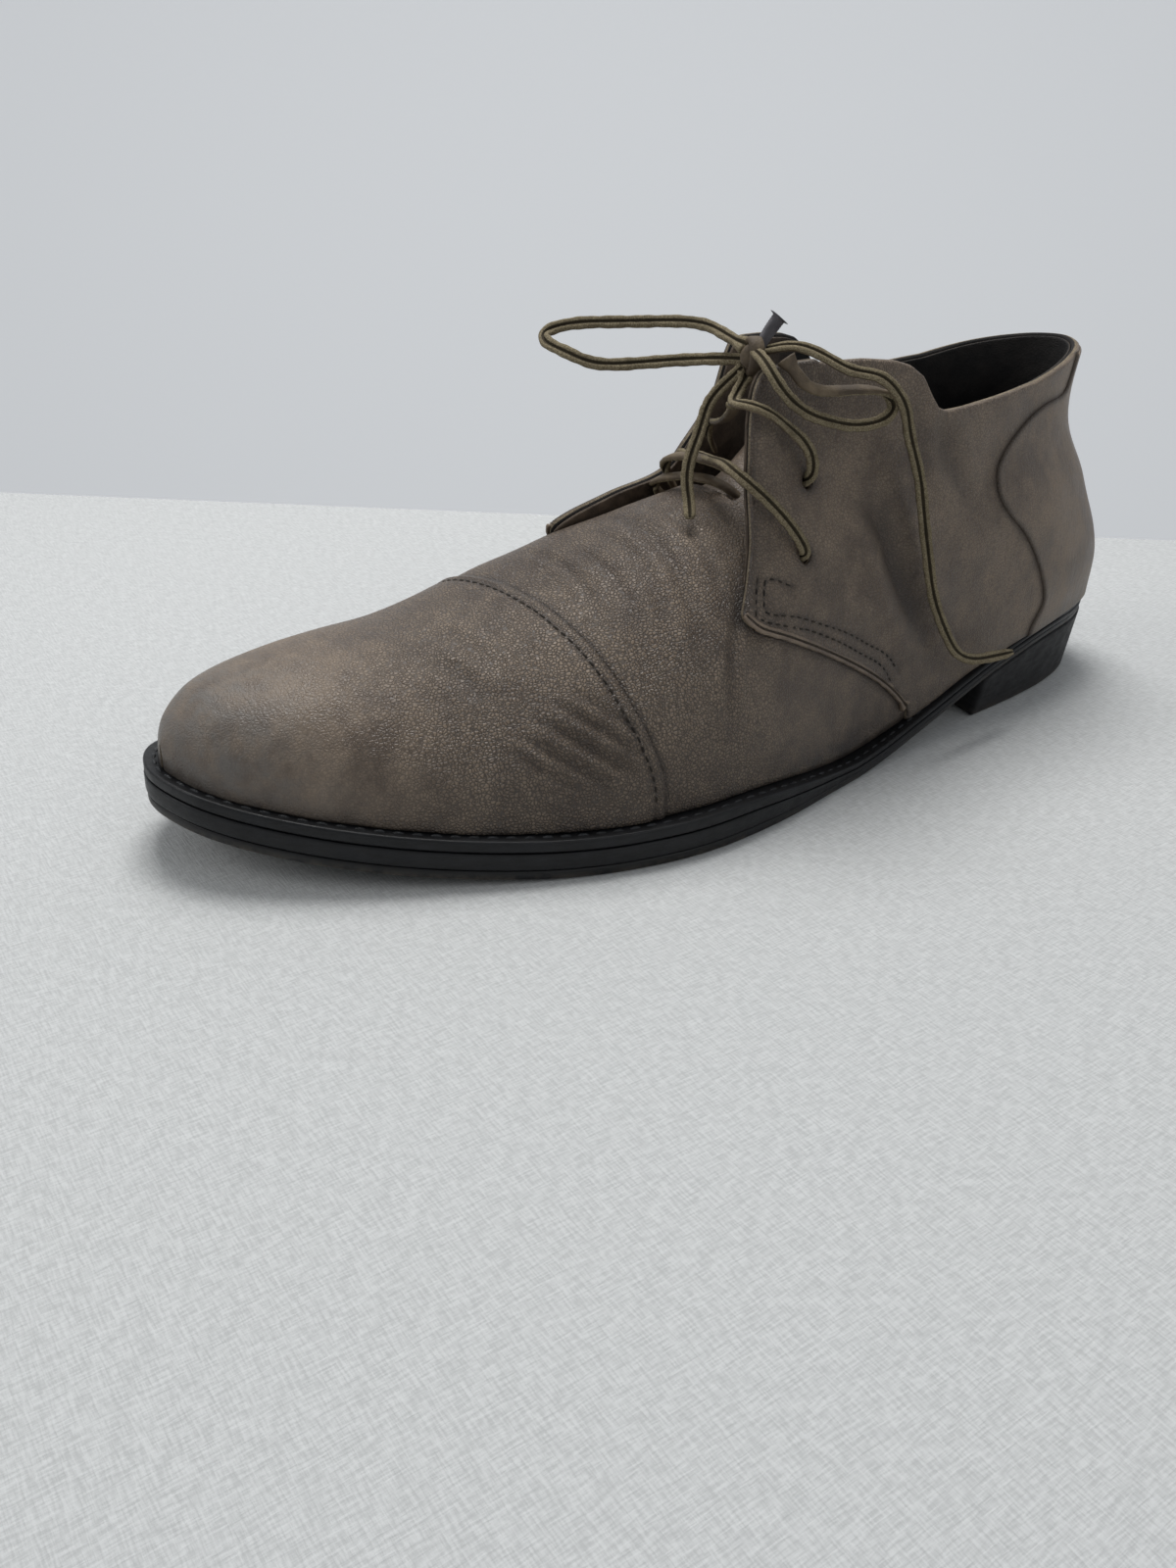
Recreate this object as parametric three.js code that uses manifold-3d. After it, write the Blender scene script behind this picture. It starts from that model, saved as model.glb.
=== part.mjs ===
// A worn leather lace-up shoe for the left foot, standing empty on its sole.
// Millimetres, +Z up, floor at z = 0, toe towards -Y, outer (lateral) side towards +X.
import * as THREE from "three";
import { mergeVertices } from "three/addons/utils/BufferGeometryUtils.js";
import Module from "manifold-3d";

// Driving dimensions
const soleLength = 312;
const ballWidth = 106; // widest part of the sole
const toeSpring = 13.5; // lift of the sole's bottom at the toe
const heelHeight = 25; // top of the sole at the heel, above the floor
const outsoleFront = 2.6;
const outsoleWaist = 2.0;
const midsoleFront = 4.4;
const midsoleWaist = 1.3;
const weltFront = 3.0;
const weltWaist = 1.3;
const seam = 0.3; // clearance between pieces that meet
const weltWidth = 9; // how far the rim reaches in under the upper
const featherFront = 4.8; // bare rim outside the upper, in the forefoot
const featherHeel = 1.6; // the same at the heel seat
const heelLength = 74; // from the back to the breast
const heelTaper = 2.6; // how much the block narrows down to the floor
const wall = 2; // leather and lining together
const overlay = 1.1; // step where one leather piece overlaps another
const upperHeight = 85; // collar height above the sole
const insoleThick = 2.4;
const tongueThick = 2.2;
const laceWide = 4.4;
const laceThick = 2.2;
const holeRadius = 1.9; // punched lace holes

// Sole outline: half widths as shares of the ball width, at shares of the length from the heel
const outlineRows = [
  { at: 0.01, lateral: 0.105, medial: 0.113 },
  { at: 0.03, lateral: 0.172, medial: 0.19 },
  { at: 0.06, lateral: 0.224, medial: 0.25 },
  { at: 0.1, lateral: 0.265, medial: 0.292 },
  { at: 0.16, lateral: 0.3, medial: 0.312 },
  { at: 0.25, lateral: 0.331, medial: 0.302 },
  { at: 0.35, lateral: 0.372, medial: 0.272 },
  { at: 0.45, lateral: 0.429, medial: 0.275 },
  { at: 0.55, lateral: 0.488, medial: 0.34 },
  { at: 0.63, lateral: 0.504, medial: 0.43 },
  { at: 0.69, lateral: 0.48, medial: 0.488 },
  { at: 0.75, lateral: 0.428, medial: 0.514 },
  { at: 0.82, lateral: 0.34, medial: 0.508 },
  { at: 0.88, lateral: 0.249, medial: 0.473 },
  { at: 0.93, lateral: 0.155, medial: 0.415 },
  { at: 0.97, lateral: 0.052, medial: 0.332 },
  { at: 0.99, lateral: -0.035, medial: 0.258 },
];
const tipOffset = -0.15; // x of the toe's tip, share of the ball width

// Ridge of the vamp: height above the sole as a share of the upper's height, and how far the
// ridge lies from the middle of the section towards the inner side, as a share of its width
const ridgeRows = [
  { at: 0.38, height: 1.35, shift: 0.04 },
  { at: 0.42, height: 1.22, shift: 0.05 },
  { at: 0.46, height: 1.05, shift: 0.06 },
  { at: 0.5, height: 0.88, shift: 0.07 },
  { at: 0.55, height: 0.78, shift: 0.08 },
  { at: 0.6, height: 0.71, shift: 0.09 },
  { at: 0.65, height: 0.645, shift: 0.09 },
  { at: 0.7, height: 0.565, shift: 0.08 },
  { at: 0.75, height: 0.487, shift: 0.06 },
  { at: 0.8, height: 0.425, shift: 0.04 },
  { at: 0.85, height: 0.384, shift: 0.02 },
  { at: 0.9, height: 0.336, shift: 0 },
  { at: 0.94, height: 0.282, shift: 0 },
  { at: 0.97, height: 0.225, shift: 0 },
  { at: 0.99, height: 0.15, shift: 0 },
  { at: 1, height: 0.075, shift: 0 },
];

// Walls of the quarters: half widths at five heights, as shares of the half width at the sole
const wallHeights = [0, 0.2, 0.45, 0.67, 0.9, 1.25]; // shares of the upper's height
const quarterLateral = [
  { at: 0, low: 1.0, belly: 0.88, waist: 0.66, rim: 0.68, top: 0.78 },
  { at: 0.15, low: 1.0, belly: 0.92, waist: 0.74, rim: 0.74, top: 0.81 },
  { at: 0.33, low: 0.99, belly: 0.97, waist: 0.87, rim: 0.76, top: 0.72 },
  { at: 0.45, low: 0.99, belly: 0.92, waist: 0.79, rim: 0.6, top: 0.52 },
  { at: 0.55, low: 0.99, belly: 0.84, waist: 0.64, rim: 0.49, top: 0.42 },
  { at: 0.66, low: 0.97, belly: 0.76, waist: 0.5, rim: 0.42, top: 0.36 },
];
const quarterMedial = [
  { at: 0, low: 1.0, belly: 0.88, waist: 0.7, rim: 0.72, top: 0.82 },
  { at: 0.15, low: 1.0, belly: 0.92, waist: 0.76, rim: 0.73, top: 0.8 },
  { at: 0.33, low: 1.0, belly: 1.02, waist: 0.98, rim: 0.85, top: 0.8 },
  { at: 0.45, low: 1.0, belly: 1.0, waist: 0.94, rim: 0.75, top: 0.68 },
  { at: 0.55, low: 0.99, belly: 0.86, waist: 0.58, rim: 0.47, top: 0.44 },
  { at: 0.66, low: 0.97, belly: 0.72, waist: 0.34, rim: 0.3, top: 0.28 },
];

// The back curve leans forward above a small bulge, in millimetres per height share
const backLean = 20;
const backRows = [
  { up: 0, lean: 0 },
  { up: 0.18, lean: 0 },
  { up: 0.45, lean: 0.55 },
  { up: 0.67, lean: 1 },
  { up: 0.9, lean: 1 },
  { up: 1.25, lean: 0.8 },
];

// Side view outlines: share of the length from the heel, height above the heel seat as a share
// of the upper's height
const toplineRows = [
  { at: -0.1, up: 0.96 },
  { at: 0.04, up: 0.96 },
  { at: 0.09, up: 0.925 },
  { at: 0.13, up: 0.9 },
  { at: 0.19, up: 0.86 },
  { at: 0.25, up: 0.84 },
  { at: 0.3, up: 0.825 },
  { at: 0.335, up: 0.82 },
  { at: 0.345, up: 0.87 },
  { at: 0.358, up: 0.94 },
  { at: 0.372, up: 0.97 },
  { at: 0.39, up: 0.99 },
  { at: 0.42, up: 1.0 },
];
const facingLateral = [
  { at: 0.47, up: 1.01 },
  { at: 0.516, up: 1.0 },
  { at: 0.528, up: 0.965 },
  { at: 0.534, up: 0.88 },
  { at: 0.537, up: 0.73 },
  { at: 0.545, up: 0.52 },
  { at: 0.565, up: 0.36 },
  { at: 0.565, up: 0.31 },
];
const lowerLateral = [
  { at: 0.534, up: 0.269 },
  { at: 0.505, up: 0.221 },
  { at: 0.472, up: 0.162 },
  { at: 0.435, up: 0.088 },
  { at: 0.402, up: 0.014 },
  { at: 0.377, up: -0.054 },
  { at: 0.357, up: -0.12 },
  { at: 0.345, up: -0.3 },
];
const facingMedial = [
  { at: 0.455, up: 1.0 },
  { at: 0.462, up: 0.9 },
  { at: 0.47, up: 0.81 },
  { at: 0.482, up: 0.75 },
  { at: 0.497, up: 0.68 },
  { at: 0.515, up: 0.605 },
  { at: 0.58, up: 0.555 },
  { at: 0.625, up: 0.5 },
  { at: 0.636, up: 0.45 },
];
const lowerMedial = [
  { at: 0.6, up: 0.35 },
  { at: 0.55, up: 0.26 },
  { at: 0.5, up: 0.17 },
  { at: 0.45, up: 0.06 },
  { at: 0.41, up: -0.05 },
  { at: 0.375, up: -0.18 },
  { at: 0.36, up: -0.3 },
];
const counterRows = [
  { at: 0.105, up: 0.97 },
  { at: 0.116, up: 0.802 },
  { at: 0.167, up: 0.766 },
  { at: 0.203, up: 0.719 },
  { at: 0.231, up: 0.655 },
  { at: 0.244, up: 0.593 },
  { at: 0.244, up: 0.516 },
  { at: 0.234, up: 0.458 },
  { at: 0.206, up: 0.369 },
  { at: 0.186, up: 0.281 },
  { at: 0.169, up: 0.184 },
  { at: 0.161, up: 0.096 },
  { at: 0.175, up: -0.01 },
  { at: 0.175, up: -0.3 },
];
// Back edge of the vamp, where it lies under the quarters and the tongue
const vampEdgeRows = [
  { at: 0.522, up: 1.4 },
  { at: 0.522, up: 0.45 },
  { at: 0.5, up: 0.33 },
  { at: 0.46, up: 0.24 },
  { at: 0.42, up: 0.15 },
  { at: 0.38, up: 0.06 },
  { at: 0.35, up: -0.03 },
  { at: 0.33, up: -0.12 },
  { at: 0.325, up: -0.3 },
];
// Toe cap seam seen from above: x as a share of the ball width
const capRows = [
  { x: 0.6, at: 0.655 },
  { x: 0.445, at: 0.663 },
  { x: 0.42, at: 0.67 },
  { x: 0.374, at: 0.679 },
  { x: 0.292, at: 0.687 },
  { x: 0.165, at: 0.696 },
  { x: 0.032, at: 0.701 },
  { x: -0.09, at: 0.706 },
  { x: -0.21, at: 0.713 },
  { x: -0.33, at: 0.716 },
  { x: -0.45, at: 0.712 },
  { x: -0.6, at: 0.7 },
];
// Lace holes, two on each side: side +1 is the outer side, across is x as a share of ball width
const holeTilt = 0.6; // radians the hole's axis points up
const holeRows = [
  { side: 1, at: 0.494, up: 0.461, across: 0.308 },
  { side: 1, at: 0.478, up: 0.66, across: 0.245 },
  { side: -1, at: 0.535, up: 0.52, across: 0.235 },
  { side: -1, at: 0.46, up: 0.7, across: 0.21 },
];

const wasm = await Module();
wasm.setup();

const halfLength = soleLength / 2;
const yAt = (share) => halfLength - share * soleLength;
const shareAt = (y) => (halfLength - y) / soleLength;

// Smooth interpolation in a table of rows
function lookUp(rows, key, value, column) {
  const last = rows.length - 1;
  if (value <= rows[0][key]) return rows[0][column];
  if (value >= rows[last][key]) return rows[last][column];
  let i = 0;
  while (rows[i + 1][key] < value) i += 1;
  const slope = (k) => {
    const low = Math.max(k - 1, 0);
    const high = Math.min(k + 1, last);
    return (rows[high][column] - rows[low][column]) / (rows[high][key] - rows[low][key]);
  };
  const span = rows[i + 1][key] - rows[i][key];
  const t = (value - rows[i][key]) / span;
  const a = rows[i][column];
  const b = rows[i + 1][column];
  const h1 = t * t * (3 - 2 * t);
  return (
    a * (1 - h1) +
    b * h1 +
    slope(i) * span * t * (1 - t) * (1 - t) -
    slope(i + 1) * span * t * t * (1 - t)
  );
}

function smoothStep(low, high, value) {
  const t = Math.min(Math.max((value - low) / (high - low), 0), 1);
  return t * t * (3 - 2 * t);
}

// Heights of the sole's layers
const archBack = 0.1; // share of the length where the sole starts to drop from the heel
const archFront = 0.445; // share of the length where it reaches the floor
const springStart = 0.7;
const blend = (share) => smoothStep(0.42, 0.6, share);
const outsoleThick = (share) => outsoleWaist + (outsoleFront - outsoleWaist) * blend(share);
const midsoleThick = (share) => midsoleWaist + (midsoleFront - midsoleWaist) * blend(share);
const weltThick = (share) => weltWaist + (weltFront - weltWaist) * blend(share);
const soleThickWaist = outsoleWaist + midsoleWaist + weltWaist + 2 * seam;

function soleBottom(share) {
  const rise = (heelHeight - soleThickWaist) * (1 - smoothStep(archBack, archFront, share));
  const past = Math.max(share - springStart, 0) / (1 - springStart);
  return rise + toeSpring * past * past;
}
const outsoleTop = (share) => soleBottom(share) + outsoleThick(share);
const midsoleTop = (share) => outsoleTop(share) + seam + midsoleThick(share);
const soleTop = (share) => midsoleTop(share) + seam + weltThick(share);

// The sole's outline as a closed smooth curve, counterclockwise seen from above
const outlineCurve = new THREE.CatmullRomCurve3(
  [
    new THREE.Vector3(0, yAt(0), 0),
    ...[...outlineRows].map((r) => new THREE.Vector3(-r.medial * ballWidth, yAt(r.at), 0)),
    new THREE.Vector3(tipOffset * ballWidth, yAt(1), 0),
    ...[...outlineRows].reverse().map((r) => new THREE.Vector3(r.lateral * ballWidth, yAt(r.at), 0)),
  ],
  true,
  "centripetal",
);

// The outline moved inwards by a distance that may change along the shoe
function insetOutline(inset, count = 240) {
  const points = [];
  for (let i = 0; i < count; i += 1) {
    const u = i / count;
    const p = outlineCurve.getPointAt(u);
    const t = outlineCurve.getTangentAt(u);
    const d = inset(shareAt(p.y));
    points.push(new THREE.Vector2(p.x - t.y * d, p.y + t.x * d));
  }
  return points;
}

// Widths of an inset outline, read at any place along the shoe
function makePlan(inset) {
  const points = insetOutline(inset);
  let back = 0;
  let front = 0;
  points.forEach((p, i) => {
    if (p.y > points[back].y) back = i;
    if (p.y < points[front].y) front = i;
  });
  const n = points.length;
  const walk = (from, to) => {
    const list = [];
    for (let i = from; i !== to; i = (i + 1) % n) list.push(points[i]);
    list.push(points[to]);
    return list;
  };
  const medial = walk(back, front);
  const lateral = walk(front, back).reverse();
  const read = (list, y) => {
    if (y >= list[0].y) return list[0].x;
    const last = list[list.length - 1];
    if (y <= last.y) return last.x;
    let i = 0;
    while (list[i + 1].y > y) i += 1;
    const t = (y - list[i].y) / (list[i + 1].y - list[i].y);
    return list[i].x + (list[i + 1].x - list[i].x) * t;
  };
  return {
    back: points[back].y,
    front: points[front].y,
    lateral: (y) => read(lateral, y),
    medial: (y) => read(medial, y),
  };
}

// One closed mesh from rows of points: neighbouring rows are joined, each row closes on itself
// and the first and last rows are closed by flat fans, unless the row is already folded shut
function meshFromRings(rings) {
  const positions = rings.flat().flatMap((p) => [p.x, p.y, p.z]);
  const width = rings[0].length;
  const faces = [];
  for (let i = 0; i + 1 < rings.length; i += 1) {
    for (let j = 0; j < width; j += 1) {
      const a = i * width + j;
      const b = i * width + ((j + 1) % width);
      faces.push(a, b, a + width, b, b + width, a + width);
    }
  }
  const close = (row, flip) => {
    const xs = rings[row].map((p) => p.x);
    if (Math.max(...xs) - Math.min(...xs) < 1e-3) return;
    const start = row * width;
    for (let j = 1; j + 1 < width; j += 1) {
      if (flip) faces.push(start, start + j + 1, start + j);
      else faces.push(start, start + j, start + j + 1);
    }
  };
  close(0, true);
  close(rings.length - 1, false);
  return solidFrom(positions, faces);
}

// Merges equal points, drops collapsed faces and turns the mesh outwards
function solidFrom(positions, faces) {
  const geometry = new THREE.BufferGeometry();
  geometry.setAttribute("position", new THREE.Float32BufferAttribute(positions, 3));
  geometry.setIndex(faces);
  const merged = mergeVertices(geometry, 1e-4);
  const index = merged.index.array;
  const kept = [];
  for (let i = 0; i < index.length; i += 3) {
    const [a, b, c] = [index[i], index[i + 1], index[i + 2]];
    if (a !== b && b !== c && a !== c) kept.push(a, b, c);
  }
  const at = (i) => new THREE.Vector3().fromBufferAttribute(merged.attributes.position, i);
  let volume = 0;
  for (let i = 0; i < kept.length; i += 3) {
    volume += at(kept[i]).dot(at(kept[i + 1]).cross(at(kept[i + 2])));
  }
  if (volume < 0) kept.reverse();
  return new wasm.Manifold(
    new wasm.Mesh({
      numProp: 3,
      vertProperties: merged.attributes.position.array,
      triVerts: new Uint32Array(kept),
    }),
  );
}

function solidOf(geometry) {
  const bare = geometry.clone();
  bare.deleteAttribute("normal");
  bare.deleteAttribute("uv");
  const merged = mergeVertices(bare, 1e-4);
  return solidFrom([...merged.attributes.position.array], [...merged.index.array]);
}

// A prism through the whole shoe from a side view outline of {at, z} points
function sidePrism(points, fromX, toX) {
  const shape = new THREE.Shape(points.map((p) => new THREE.Vector2(yAt(p.at), p.z)));
  const geometry = new THREE.ExtrudeGeometry(shape, { depth: toX - fromX, bevelEnabled: false });
  geometry.applyMatrix4(
    new THREE.Matrix4().makeBasis(
      new THREE.Vector3(0, 1, 0),
      new THREE.Vector3(0, 0, 1),
      new THREE.Vector3(1, 0, 0),
    ),
  );
  geometry.translate(fromX, 0, 0);
  return solidOf(geometry);
}

// A prism straight up from a plan outline
function planPrism(points, low, high) {
  const shape = new THREE.Shape(points);
  const geometry = new THREE.ExtrudeGeometry(shape, { depth: high - low, bevelEnabled: false });
  geometry.translate(0, 0, low);
  return solidOf(geometry);
}

// A layer of the sole: an outline between two height functions, cut in rows across the shoe
function soleLayer(inset, bottom, top, rows = 56) {
  const plan = makePlan(inset);
  const rings = [];
  for (let i = 0; i <= rows; i += 1) {
    const t = i / rows;
    const y = plan.back + (plan.front - plan.back) * (0.5 - 0.5 * Math.cos(Math.PI * t));
    const s = shareAt(y);
    const [l, m] = [plan.lateral(y), plan.medial(y)];
    const mid = (l + m) / 2;
    rings.push([
      new THREE.Vector3(l, y, bottom(s)),
      new THREE.Vector3(l, y, top(s)),
      new THREE.Vector3(mid, y, top(s)),
      new THREE.Vector3(m, y, top(s)),
      new THREE.Vector3(m, y, bottom(s)),
      new THREE.Vector3(mid, y, bottom(s)),
    ]);
  }
  return meshFromRings(rings);
}

const far = soleLength; // reach of cutting prisms, past everything
const featherInset = (share) => featherHeel + (featherFront - featherHeel) * smoothStep(0.15, 0.42, share);
const noInset = () => 0;
const outsole = soleLayer(noInset, soleBottom, outsoleTop);
const midsole = soleLayer(noInset, (s) => outsoleTop(s) + seam, midsoleTop);
const weltOuter = soleLayer(noInset, (s) => midsoleTop(s) + seam, soleTop);
const weltHole = soleLayer(
  (s) => featherInset(s) + weltWidth,
  (s) => midsoleTop(s) - far / 10,
  (s) => soleTop(s) + far / 10,
);
const welt = weltOuter.subtract(weltHole);

// The heel block: straight breast, sides that narrow a little towards the floor
function makeHeel() {
  const plan = makePlan(noInset);
  const levels = 3;
  const rows = 26;
  const rings = [];
  for (let i = 0; i <= rows; i += 1) {
    const t = i / rows;
    const y = plan.back - heelLength * t * t;
    const roof = soleBottom(shareAt(y)) - seam;
    const point = (edge, level) => {
      const down = 1 - level / levels;
      const narrow = 1 - (heelTaper / plan.lateral(plan.back - heelLength)) * down;
      return new THREE.Vector3(edge(y) * narrow, y - heelTaper * down * (1 - t), (roof * level) / levels);
    };
    const ring = [];
    for (let k = 0; k <= levels; k += 1) ring.push(point(plan.lateral, k));
    for (let k = levels; k >= 0; k -= 1) ring.push(point(plan.medial, k));
    rings.push(ring);
  }
  return meshFromRings(rings);
}
const heel = makeHeel();

const vampStart = 0.3; // share of the length where the vamp's form begins
const innerDrop = 8; // how far the inner forms reach below the sole's top

// The vamp's form: domed sections from the instep to the toe
function vampForm(inset, drop = 0) {
  const plan = makePlan((s) => featherInset(s) + inset);
  const rows = drop > 0 ? 18 : 28;
  const across = drop > 0 ? 14 : 22;
  const start = yAt(vampStart);
  const rings = [];
  for (let i = 0; i <= rows; i += 1) {
    const y = plan.front + (start - plan.front) * (1 - Math.sin((Math.PI / 2) * (i / rows)));
    const share = shareAt(y);
    const l = plan.lateral(y);
    const m = plan.medial(y);
    const base = soleTop(share) + seam;
    // the ridge keeps its wall at the tip, where the section starts
    const ownShare = 1 - ((y - plan.front) / soleLength);
    const height = Math.max(
      lookUp(ridgeRows, "at", ownShare, "height") * upperHeight - inset,
      0.5,
    );
    const ridge = (l + m) / 2 - lookUp(ridgeRows, "at", share, "shift") * (l - m);
    const ring = [];
    for (let j = 0; j <= across; j += 1) {
      const turn = (Math.PI * j) / across;
      const side = Math.cos(turn) >= 0 ? l : m;
      const out = Math.pow(Math.abs(Math.cos(turn)), 0.86);
      const up = Math.pow(Math.sin(turn), 0.96);
      ring.push(new THREE.Vector3(ridge + (side - ridge) * out, y, base + height * up));
    }
    if (drop > 0) {
      ring.push(new THREE.Vector3(m, y, base - drop));
      ring.push(new THREE.Vector3(l, y, base - drop));
    }
    rings.push(ring);
  }
  return meshFromRings(rings);
}

const quarterEnd = 0.66; // at share where the quarters' form ends, under the vamp

// The quarters' form: walls from the heel to past the throat, with a flat top above the collar
function quarterForm(inset, drop = 0) {
  const plan = makePlan((s) => featherInset(s) + inset);
  const rows = drop > 0 ? 18 : 26;
  const end = yAt(quarterEnd);
  const columns = ["low", "belly", "waist", "rim", "top"];
  const levels = drop > 0 ? 7 : 9;
  const wallShare = (table, share, up) => {
    const profile = [{ up: 0, width: 1 }].concat(
      columns.map((c, i) => ({ up: wallHeights[i + 1], width: lookUp(table, "at", share, c) })),
    );
    return lookUp(profile, "up", up, "width");
  };
  const bare = makePlan(featherInset);
  const rings = [];
  for (let i = 0; i <= rows; i += 1) {
    const t = i / rows;
    const y = plan.back + (end - plan.back) * (1 - Math.cos((Math.PI / 2) * t));
    const share = shareAt(y);
    const fade = 1 - smoothStep(0, 0.42, share);
    const base = soleTop(Math.max(share, 0)) + seam;
    const point = (table, edge, up) => {
      const own = plan[edge](y);
      const full = own + (bare[edge](y) - own) * smoothStep(0.02, 0.1, share);
      const wider = i === 0 ? 0 : wallShare(table, share, up) - 1;
      const lean = lookUp(backRows, "up", up, "lean") * backLean * fade;
      return new THREE.Vector3(own + full * wider, y - lean, base + up * upperHeight);
    };
    const ring = [];
    const topUp = wallHeights[wallHeights.length - 1];
    if (drop > 0) ring.push(point(quarterLateral, "lateral", 0).setZ(base - drop));
    for (let k = 0; k <= levels; k += 1) ring.push(point(quarterLateral, "lateral", (topUp * k) / levels));
    for (let k = levels; k >= 0; k -= 1) ring.push(point(quarterMedial, "medial", (topUp * k) / levels));
    if (drop > 0) ring.push(point(quarterMedial, "medial", 0).setZ(base - drop));
    rings.push(ring);
  }
  return meshFromRings(rings);
}

const sideHeight = (up) => heelHeight + up * upperHeight;

// A side view region of one half of the shoe, from rows of {at, up}
function sideRegion(rows, side) {
  const points = rows.map((r) => ({ at: r.at, z: sideHeight(r.up) }));
  return side > 0 ? sidePrism(points, -seam, far) : sidePrism(points, -far, seam);
}

const below = -0.6; // up share under everything
const behind = -0.2; // at share behind everything
const ahead = 1.2; // at share in front of everything

function quarterRegion(facing, lower, side) {
  const frontFoot = { at: lower[lower.length - 1].at, up: below };
  return sideRegion([...toplineRows, ...facing, ...lower, frontFoot, { at: behind, up: below }], side);
}
const counterFrame = [
  { at: 0.175, up: below },
  { at: behind, up: below },
  { at: behind, up: 1.2 },
  { at: 0.105, up: 1.2 },
];
const counterRegion = sidePrism(
  [...counterRows, ...counterFrame].map((r) => ({ at: r.at, z: sideHeight(r.up) })),
  -far,
  far,
);
const vampRegion = sidePrism(
  [...vampEdgeRows, { at: 0.32, up: below }, { at: ahead, up: below }, { at: ahead, up: 1.4 }].map((r) => ({
    at: r.at,
    z: sideHeight(r.up),
  })),
  -far,
  far,
);
const capRegion = planPrism(
  [
    ...capRows.map((r) => new THREE.Vector2(r.x * ballWidth, yAt(r.at))),
    new THREE.Vector2(-far, yAt(0.7)),
    new THREE.Vector2(-far, yAt(ahead)),
    new THREE.Vector2(far, yAt(ahead)),
    new THREE.Vector2(far, yAt(0.655)),
  ],
  -far,
  far,
);

// A short round cutter across the quarter's wall
function holeCutter(row) {
  const sides = 12;
  const reach = 6 * wall;
  const geometry = new THREE.CylinderGeometry(holeRadius, holeRadius, reach, sides);
  geometry.rotateZ(-row.side * (Math.PI / 2 - holeTilt));
  geometry.translate(row.side * row.across * ballWidth, yAt(row.at), sideHeight(row.up));
  return solidOf(geometry);
}

// The upper: one hollow solid. The toe cap, the quarters and the counter are steps in its wall.
function makeUpper() {
  const vampInner = vampForm(wall, innerDrop);
  const vamp = vampForm(0).add(vampForm(-overlay).intersect(capRegion)).intersect(vampRegion);
  const quarterInner = quarterForm(wall, innerDrop);
  const quarters = quarterForm(-overlay)
    .add(quarterForm(-2 * overlay).intersect(counterRegion))
    .intersect(
      quarterRegion(facingLateral, lowerLateral, 1).add(quarterRegion(facingMedial, lowerMedial, -1)),
    );
  const shell = quarters.subtract(quarterInner).add(vamp.subtract(vampInner)).subtract(vampInner);
  return holeRows.reduce((solid, row) => solid.subtract(holeCutter(row)), shell);
}

// The insole fills the inside of the upper; its underside steps down through the welt
const insoleGap = 0.8; // clearance to the upper's inner wall
const insoleTip = 3; // more of it under the low tip of the toe
const insoleInset = (share) => featherInset(share) + wall + insoleGap + insoleTip * smoothStep(0.85, 1, share);
const insoleRows = 30;
const insole = soleLayer(
  insoleInset,
  (s) => soleTop(s) + 2 * seam,
  (s) => soleTop(s) + 2 * seam + insoleThick,
  insoleRows,
).add(
  soleLayer(
    (s) => featherInset(s) + weltWidth + 3 * seam,
    (s) => midsoleTop(s) + 2 * seam,
    (s) => soleTop(s) + seam + insoleThick / 2,
    insoleRows,
  ),
);

// The tongue follows the forms of the vamp and the quarters further in, and rises in the throat
const tongueGap = 0.5; // clearance to the upper's inner wall
const tongueRows = [
  { at: 0.39, left: -0.125, right: 0.22 },
  { at: 0.46, left: -0.14, right: 0.21 },
  { at: 0.52, left: -0.15, right: 0.2 },
  { at: 0.61, left: -0.13, right: 0.16 },
];
const tongueTop = 1.0; // share of the upper's height above the heel seat
const tongueSide = (column) => tongueRows.map((r) => new THREE.Vector2(r[column] * ballWidth, yAt(r.at)));
const tongue = vampForm(wall + tongueGap, innerDrop)
  .subtract(vampForm(wall + tongueGap + tongueThick, innerDrop))
  .intersect(quarterForm(wall + tongueGap, innerDrop))
  .intersect(
    planPrism([...tongueSide("left"), ...tongueSide("right").reverse()], heelHeight, sideHeight(tongueTop)),
  );

const routePoint = ([x, y, z]) => new THREE.Vector3(x * ballWidth, y * soleLength, sideHeight(z));

// A flat leather lace along a list of route points
function lace(points) {
  const path = new THREE.CatmullRomCurve3(points.map(routePoint));
  const section = new THREE.Shape();
  const lacePitch = 2.2; // step along the lace, in widths
  const sides = 8;
  for (let i = 0; i < sides; i += 1) {
    const turn = (2 * Math.PI * (i + 0.5)) / sides;
    const x = (Math.cos(turn) * laceWide) / 2;
    const y = (Math.sin(turn) * laceThick) / 2;
    if (i === 0) section.moveTo(x, y);
    else section.lineTo(x, y);
  }
  const steps = Math.ceil(path.getLength() / (lacePitch * laceWide));
  return solidOf(new THREE.ExtrudeGeometry(section, { steps, extrudePath: path, bevelEnabled: false }));
}

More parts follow.
